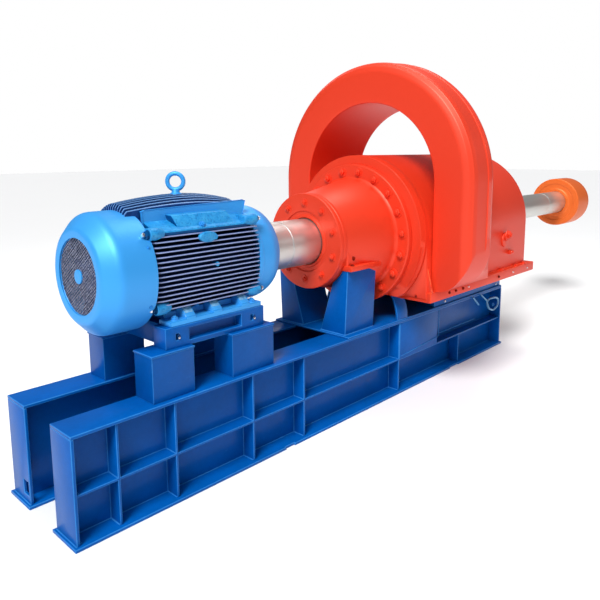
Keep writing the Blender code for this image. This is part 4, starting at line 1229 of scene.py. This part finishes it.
class TURBINE_OT_bearing_housing(Dressing):
    """Tapered barrel, its bolted flange and the two feet"""
    bl_idname = "turbine.bearing_housing"
    bl_label = "Bearing housing"

    def make(self):
        low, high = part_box("bearing_housing")
        start, end = low.x - SKID_START, high.x - SKID_START
        rim, bore = (high.z - AXIS_Z), 0.177
        face = 2.600
        bm = bmesh.new()
        turned(bm, [(end, rim, 0.003), (face + 0.004, rim, 0.010), (face, rim - 0.012, 0.006),
                    (face, 0.462, 0.004), (face - 0.018, 0.444, 0.030), (face - 0.060, 0.436, 0.040),
                    (start, 0.354, 0.003), (start, bore, 0.003), (end, bore, 0.003)])
        set_down("bearing_barrel", bm, ("turbine_red",), ("bearing_housing",))
        spots = []
        for label, side in SIDES:
            bm = bmesh.new()
            x0, x1 = along(2.130), along(2.492)
            foot_bottom, foot_top = 1.098, 1.138
            block(bm, (x0 + 0.004, x1 - 0.006), (side * 0.240, side * 0.354), (foot_bottom + 0.01, AXIS_Z + 0.01))
            soften(bm, 0.012, 30.0, 3)
            made = block(bm, (x0, x1), (side * 0.225, side * 0.392), (foot_bottom, foot_top))
            edges = {e for vert in made for e in vert.link_edges}
            # The foot plate's rounded edges get the paler paint, a painted highlight.
            soften(bm, 0.004, 30.0, 2, 1, edges)
            set_down(f"{label}_housing_foot", bm, ("turbine_red", "turbine_red_edge"))
            for station in (2.165, 2.455):
                spots.append(((along(station), side * 0.373, foot_top), (0.0, 0.0, 1.0), 0.011))
            # An oval in the darker paint stands for the hole: a painted shade.
            bm = bmesh.new()
            eye = [(along(2.201) + 0.017 * math.cos(math.tau * k / 24), 1.190 + 0.020 * math.sin(math.tau * k / 24))
                   for k in range(24)]
            prism(bm, eye, side * 0.340, side * 0.3555, axis=1)
            set_down(f"{label}_drain_hole_shade", bm, ("turbine_red_dark",))
            spots.append(((along(2.201), side * 0.3555, 1.188), (0.0, side, 0.0), 0.010))
            spots.append(((along(2.326), side * 0.354, 1.184), (0.0, side, 0.0), 0.008))
        # Foot bolts in the darker paint, a painted shade.
        bolts("housing_foot_bolts", spots, "turbine_red_dark", 13, 1.6)
        bolts("drum_flange_bolts", ring_spots(face, 0.503, sizes().flange_bolts, sizes().flange_bolt, 5.5),
              "turbine_red", 17, 1.55, 0.5)


class TURBINE_OT_saddle_arch(Dressing):
    """Rolled plate arch under the drum"""
    bl_idname = "turbine.saddle_arch"
    bl_label = "Saddle arch"

    def make(self):
        refinish("saddle_arch", "skid_blue", 0.003, 40.0)


class TURBINE_OT_casing(Dressing):
    """Drum casing with its rounded nose"""
    bl_idname = "turbine.casing"
    bl_label = "Casing"

    def make(self):
        bm = copy_node("casing")
        set_down("drum_casing", bm, ("turbine_red",), ("casing",), degrees=40.0, recalc=False)
        low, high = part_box("casing")
        bm = bmesh.new()
        radius = high.z - AXIS_Z
        turned(bm, [(2.760, radius + 0.0015, 0.004), (2.712, radius + 0.0015, 0.012), (2.690, radius - 0.010, 0.012),
                    (2.6515, 0.566, 0.012), (2.6515, 0.300, 0.0), (2.760, 0.300, 0.0)])
        cut_below(bm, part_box("casing")[0].z + 0.002)
        set_down("drum_shoulder", bm, ("turbine_red",))


class TURBINE_OT_casing_fittings(Dressing):
    """Gussets, bosses and lugs on the casing"""
    bl_idname = "turbine.casing_fittings"
    bl_label = "Casing fittings"

    def make(self):
        top = FLANGE_TOP - 0.002
        gussets = (((0.410, top), (0.505, top), (0.474, 0.952), (0.457, 0.985), (0.425, 0.965)),
                   ((0.520, top), (0.676, top), (0.664, 0.950), (0.632, 1.070), (0.618, 1.082), (0.560, 1.040),
                    (0.510, 0.960)))
        bm = bmesh.new()
        for label, side in SIDES:
            for outline in gussets:
                prism(bm, [(side * y, z) for y, z in outline], along(2.757), along(2.779))
        soften(bm, 0.004, 40.0, 2, 1)
        set_down("casing_gussets", bm, ("turbine_red", "rough_red"))
        bm = bmesh.new()
        spots, studs = [], []
        for label, side in SIDES:
            for station, z, radius, inner, outer in ((4.045, 1.150, 0.062, 0.600, 0.645),
                                                     (4.045, 1.185, 0.040, 0.640, 0.664)):
                stem = [(math.cos(math.tau * k / 36) * radius + along(station),
                         math.sin(math.tau * k / 36) * radius + z) for k in range(36)]
                prism(bm, stem, side * inner, side * outer, axis=1)
            block(bm, (along(4.130), along(4.185)), (side * 0.600, side * 0.662), (1.010, 1.046))
            spots.append(((along(4.045), side * 0.664, 1.200), (0.0, side, 0.0), 0.034))
            studs.append(((along(4.155), side * 0.662, 1.030), (0.0, side, 0.0), 0.012))
        soften(bm, 0.004, 40.0, 2)
        set_down("casing_bosses", bm, ("turbine_red",))
        bolts("casing_boss_bolts", spots, "turbine_red", 19, 1.35)
        # These studs get the paler rim paint, a painted highlight.
        bolts("casing_lug_bolts", studs, "rim_red_gloss_and_painted_highlight", 21, 1.3)


class TURBINE_OT_foot_flanges(Dressing):
    """Mounting flanges with their bolts and edge screws"""
    bl_idname = "turbine.foot_flanges"
    bl_label = "Foot flanges"

    def make(self):
        spots, small, tips, dots, lines = [], [], [], [], []
        for label, side in SIDES:
            node = f"{label}_foot_flange"
            refinish(node, "turbine_red", 0.005, segments=2)
            low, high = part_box(node)
            outer = side * max(abs(low.y), abs(high.y))
            for station in (3.700, 3.980, 4.270, 4.430):
                spots.append(((along(station), outer - side * 0.022, FLANGE_TOP), (0.0, 0.0, 1.0),
                              sizes().foot_bolt))
            level = (low.z + high.z) / 2
            for station in (3.022, 3.122, 3.239, 3.877):
                small.append(((along(station), outer, level), (0.0, side, 0.0), 0.011))
            for station in (3.329, 4.164, 4.468):
                tips.append(((along(station), outer, level), (0.0, side, 0.0), 0.009))
            small.append(((low.x, side * 0.545, level), (-1.0, 0.0, 0.0), 0.011))
            for station, z in ((3.470, 0.640), (4.441, 0.640)):
                dots.append(((along(station), side * abs(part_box(f"{label}_sole_block")[0 if side < 0 else 1].y), z),
                             (0.0, side, 0.0), 0.010))
            wall = side * 0.634
            lines.append([(along(3.56), wall, FLANGE_TOP), (along(4.44), wall, FLANGE_TOP)])
        bolts("flange_top_bolts", spots, "turbine_red", 23, 1.6)
        # Edge screws in the darker paint, a painted shade.
        bolts("flange_edge_screws", small, "turbine_red_dark", 29, 1.2)
        bolts("flange_edge_studs", tips, "bright_steel", 33, 1.0)
        bolts("sole_block_screws", dots, "bright_steel", 35, 1.0)
        # Beads in the paler paint: a painted highlight along the welds.
        welds("casing_foot_welds", lines, "turbine_red_edge", 0.007)


RING_CENTRE_Z = 1.705
RING_FOOT = FLANGE_TOP + 0.0003


def swept_ring(bm, section, steps=120):
    """Carry a (station, radius) section up the near leg, over the top and down the far leg."""
    rim = max(radius for _, radius in section)
    foot_half, curve_top = 0.672, 1.290

    def inside(radius, z):
        if z >= curve_top:
            return radius
        sink = (curve_top - z) / (curve_top - RING_FOOT)
        limit = foot_half + (rim - foot_half) * math.sqrt(max(0.0, 1.0 - min(1.0, sink) ** 2))
        return min(radius, limit)

    leg = [RING_FOOT + (RING_CENTRE_Z - RING_FOOT) * k / 60 for k in range(60)]
    rings = []
    for z in leg:
        rings.append([bm.verts.new((along(s), -inside(r, z), z)) for s, r in section])
    for k in range(steps + 1):
        angle = math.pi * k / steps
        rings.append([bm.verts.new((along(s), -r * math.cos(angle), RING_CENTRE_Z + r * math.sin(angle)))
                      for s, r in section])
    for z in reversed(leg):
        rings.append([bm.verts.new((along(s), inside(r, z), z)) for s, r in section])
    total = len(section)
    for first, second in zip(rings, rings[1:]):
        for k in range(total):
            after = (k + 1) % total
            bm.faces.new((first[k], first[after], second[after], second[k]))
    bm.faces.new(list(reversed(rings[0])))
    bm.faces.new(rings[-1])


class TURBINE_OT_scroll_ring(Dressing):
    """Horseshoe scroll over the drum"""
    bl_idname = "turbine.scroll_ring"
    bl_label = "Scroll ring"

    def make(self):
        front, rear = 2.800, 3.520
        inner, outer, rim = 0.6365, 0.958, 0.966
        section = rounded([
            (front, inner, 0.014), (rear, inner, 0.006), (rear, 0.745, 0.010), (3.110, rim - 0.006, 0.020),
            (3.085, rim, 0.006), (3.036, rim, 0.003), (3.030, outer + 0.001, 0.003), (2.880, outer, 0.020),
            (2.846, outer - 0.010, 0.012), (2.8425, outer - 0.015, 0.002), (2.822, outer - 0.036, 0.010),
            (2.8185, outer - 0.042, 0.002), (front + 0.004, outer - 0.078, 0.030)], True)
        bm = bmesh.new()
        swept_ring(bm, section)
        # Faces on the outer rim get the paler rim paint, a painted highlight, with a glossier coat.
        for face in bm.faces:
            middle = face.calc_center_median()
            drop = max(0.0, middle.z - RING_CENTRE_Z)
            if math.hypot(middle.y, drop) > rim - 0.0030 and middle.z > 1.300:
                face.material_index = 1
        set_down("scroll_ring_shell", bm, ("turbine_red", "rim_red_gloss_and_painted_highlight"), ("scroll_ring",),
                 degrees=28.0)


class TURBINE_OT_end_cover(Dressing):
    """Bolted cover where the shaft leaves the casing"""
    bl_idname = "turbine.end_cover"
    bl_label = "End cover"

    def make(self):
        low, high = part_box("casing_end_cover")
        start, end = low.x - SKID_START, high.x - SKID_START
        radius = (high.z - low.z) / 2
        bm = bmesh.new()
        turned(bm, [(end, 0.210, 0.008), (start + 0.040, 0.210, 0.012), (start + 0.040, radius, 0.006),
                    (start, radius, 0.002), (start, 0.142, 0.002), (end, 0.142, 0.004)])
        set_down("casing_end_plate", bm, ("turbine_red",), ("casing_end_cover",))
        # Bolts in the paler paint, a painted highlight.
        bolts("end_cover_bolts", ring_spots(start + 0.040, radius - 0.055, 12, 0.022, 15.0, 1),
              "turbine_red_edge", 31)
        bolts("end_gland_bolts", ring_spots(end, 0.180, 6, 0.012, 0.0, 1), "turbine_red_edge",
              37)


class TURBINE_OT_shaft(Dressing):
    """Polished stepped shaft"""
    bl_idname = "turbine.shaft"
    bl_label = "Shaft"

    def make(self):
        low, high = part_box("shaft")
        start, end = low.x - SKID_START, high.x - SKID_START
        main, tail, small = 0.171, 0.136, 0.060
        bm = bmesh.new()
        turned(bm, [(start, 0.0, 0.0), (start, small, 0.004), (1.360, small, 0.0), (1.360, main, 0.006),
                    (1.760, main, 0.0), (1.762, main - 0.003, 0.0), (1.772, main - 0.003, 0.0), (1.774, main, 0.0),
                    (3.950, main, 0.004), (3.950, tail, 0.0), (6.300, tail, 0.002), (6.3025, tail - 0.0025, 0.0),
                    (6.322, tail - 0.0025, 0.0), (6.3245, tail, 0.002), (end, tail, 0.004), (end, 0.0, 0.0)],
               False, 96)
        set_down("running_shaft", bm, ("polished_steel",), ("shaft",), "rotor")


class TURBINE_OT_coupling_hub(Dressing):
    """Coupling hub on the shaft's free end"""
    bl_idname = "turbine.coupling_hub"
    bl_label = "Coupling hub"

    def make(self):
        low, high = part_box("coupling_hub")
        start, end = low.x - SKID_START, high.x - SKID_START
        radius, bore = (high.z - low.z) / 2, 0.1375
        bm = bmesh.new()
        turned(bm, [(end, 0.0, 0.0), (end, 0.120, 0.004), (end - 0.006, 0.128, 0.004), (end - 0.006, 0.255, 0.004),
                    (end, 0.262, 0.004), (end, radius, 0.010), (start, radius, 0.012), (start, 0.238, 0.004),
                    (start + 0.008, 0.230, 0.006), (start + 0.008, 0.178, 0.006), (start, 0.170, 0.004),
                    (start, bore, 0.003), (end - 0.030, bore, 0.0), (end - 0.030, 0.0, 0.0)], False, 96)
        set_down("coupling_hub_rim", bm, ("hub_orange",), ("coupling_hub",), "rotor")


class TURBINE_OT_stage(Dressing):
    """Pale floor, soft lights and the camera at the photograph's angle"""
    bl_idname = "turbine.stage"
    bl_label = "Stage"

    def make(self):
        floor_bm = bmesh.new()
        bmesh.ops.create_grid(floor_bm, x_segments=8, y_segments=8, size=60.0)
        mesh = bpy.data.meshes.new("studio_floor")
        floor_bm.to_mesh(mesh)
        floor_bm.free()
        mesh.materials.append(finish("studio_floor"))
        floor = bpy.data.objects.new("studio_floor", mesh)
        floor.location.z = -0.001
        bpy.context.scene.collection.objects.link(floor)
        self.lights()
        self.camera()

    def lights(self):
        world = bpy.data.worlds.new("studio_light")
        world.use_nodes = True
        world.node_tree.nodes.clear()
        bench = Bench(world.node_tree)
        rays = bench.tree.nodes.new("ShaderNodeLightPath")
        place = bench.add("ShaderNodeTexCoord", output="Generated")
        height = bench.add("ShaderNodeSeparateXYZ", None, {"Vector": place}, 2)
        glow = bench.add("ShaderNodeValToRGB", {"stops": [(0.0, (0.10, 0.10, 0.11)), (0.50, (0.22, 0.23, 0.25)),
                                                          (0.80, (0.80, 0.82, 0.85)), (1.0, (1.0, 1.0, 1.0))]},
                         {"Fac": (height + 1.0) / 2.0})
        fill = bench.add("ShaderNodeBackground", None, {"Color": glow, "Strength": 0.45})
        mirrored = bench.add("ShaderNodeBackground", None, {"Color": glow, "Strength": 0.30})
        plain = bench.add("ShaderNodeBackground", None, {"Color": (1.0, 1.0, 1.0, 1.0), "Strength": 1.0})
        lit = bench.add("ShaderNodeMixShader", None,
                        {0: Flow(bench, rays.outputs["Is Glossy Ray"]), 1: fill, 2: mirrored})
        both = bench.add("ShaderNodeMixShader", None,
                         {0: Flow(bench, rays.outputs["Is Camera Ray"]), 1: lit, 2: plain})
        bench.add("ShaderNodeOutputWorld", None, {"Surface": both})
        bpy.context.scene.world = world
        for name, kind, spot, aim, size, power in (
                ("sky_sun", "SUN", (-6.0, -2.4, 7.2), (0.0, 0.0, 0.0), math.radians(22.0), 3.3),
                ("key_softbox", "AREA", (-6.0, -3.0, 6.5), (-0.5, 0.0, 1.2), 2.4, 130.0),
                ("top_softbox", "AREA", (0.5, 0.3, 6.5), (0.5, 0.0, 1.0), 2.2, 110.0),
                ("side_softbox", "AREA", (5.5, -6.5, 4.5), (1.0, 0.0, 1.4), 2.4, 30.0),
                ("back_softbox", "AREA", (3.5, 6.0, 6.0), (0.5, 0.0, 1.4), 2.4, 70.0)):
            lamp = bpy.data.lights.new(name, kind)
            setattr(lamp, "angle" if kind == "SUN" else "size", size)
            lamp.energy = power
            holder = bpy.data.objects.new(name, lamp)
            holder.location = spot
            holder.rotation_euler = (Vector(aim) - Vector(spot)).to_track_quat("-Z", "Y").to_euler()
            bpy.context.scene.collection.objects.link(holder)

    def camera(self):
        lens = bpy.data.cameras.new("photo_camera")
        lens.sensor_width = 36.0
        lens.lens = 36.61
        lens.shift_y = -0.0884
        lens.clip_end = 200.0
        camera = bpy.data.objects.new("photo_camera", lens)
        forward = Vector((0.7134, 0.6838, -0.1532)).normalized()
        level = forward.cross(Vector((0.0, 0.0, 1.0))).normalized()
        above = level.cross(forward)
        roll = math.radians(-0.317)
        right = level * math.cos(roll) + above * math.sin(roll)
        up = above * math.cos(roll) - level * math.sin(roll)
        turn = Matrix((right, up, -forward)).transposed()
        camera.matrix_world = Matrix.Translation((-4.8006, -3.0982, 1.9511)) @ turn.to_4x4()
        bpy.context.scene.collection.objects.link(camera)
        bpy.context.scene.camera = camera
        bpy.context.scene.view_settings.view_transform = "Standard"


OPERATORS = (TURBINE_OT_skid, TURBINE_OT_skid_welds, TURBINE_OT_tie_down, TURBINE_OT_motor_bed,
             TURBINE_OT_fan_cowl, TURBINE_OT_fan_grille, TURBINE_OT_motor_fan, TURBINE_OT_motor_frame,
             TURBINE_OT_side_fins, TURBINE_OT_top_fins, TURBINE_OT_end_shields, TURBINE_OT_motor_feet,
             TURBINE_OT_motor_lugs, TURBINE_OT_terminal_block, TURBINE_OT_eyebolt,
             TURBINE_OT_bearing_pedestals, TURBINE_OT_bearing_cover, TURBINE_OT_bearing_housing,
             TURBINE_OT_saddle_arch, TURBINE_OT_casing, TURBINE_OT_casing_fittings,
             TURBINE_OT_foot_flanges, TURBINE_OT_scroll_ring, TURBINE_OT_end_cover, TURBINE_OT_shaft,
             TURBINE_OT_coupling_hub, TURBINE_OT_stage)


class TURBINE_PT_dressing(bpy.types.Panel):
    """Lists the sizes, the colours and the operators"""
    bl_idname = "TURBINE_PT_dressing"
    bl_label = "Turbine set"
    bl_space_type = "VIEW_3D"
    bl_region_type = "UI"
    bl_category = "Turbine set"

    def draw(self, context):
        for group in (context.scene.turbine_sizes, context.scene.turbine_colours):
            box = self.layout.box()
            for key in group.__annotations__:
                box.prop(group, key)
        for operator in OPERATORS:
            self.layout.operator(operator.bl_idname)


CLASSES = (TurbineSizes, TurbineColours, *OPERATORS, TURBINE_PT_dressing)


def register():
    for each in CLASSES:
        bpy.utils.register_class(each)
    bpy.types.Scene.turbine_sizes = bpy.props.PointerProperty(type=TurbineSizes)
    bpy.types.Scene.turbine_colours = bpy.props.PointerProperty(type=TurbineColours)


def unregister():
    del bpy.types.Scene.turbine_colours
    del bpy.types.Scene.turbine_sizes
    for each in reversed(CLASSES):
        bpy.utils.unregister_class(each)


def main():
    register()
    for operator in OPERATORS:
        group, name = operator.bl_idname.split(".")
        getattr(getattr(bpy.ops, group), name)()
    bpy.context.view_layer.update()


if __name__ == "__main__":
    main()
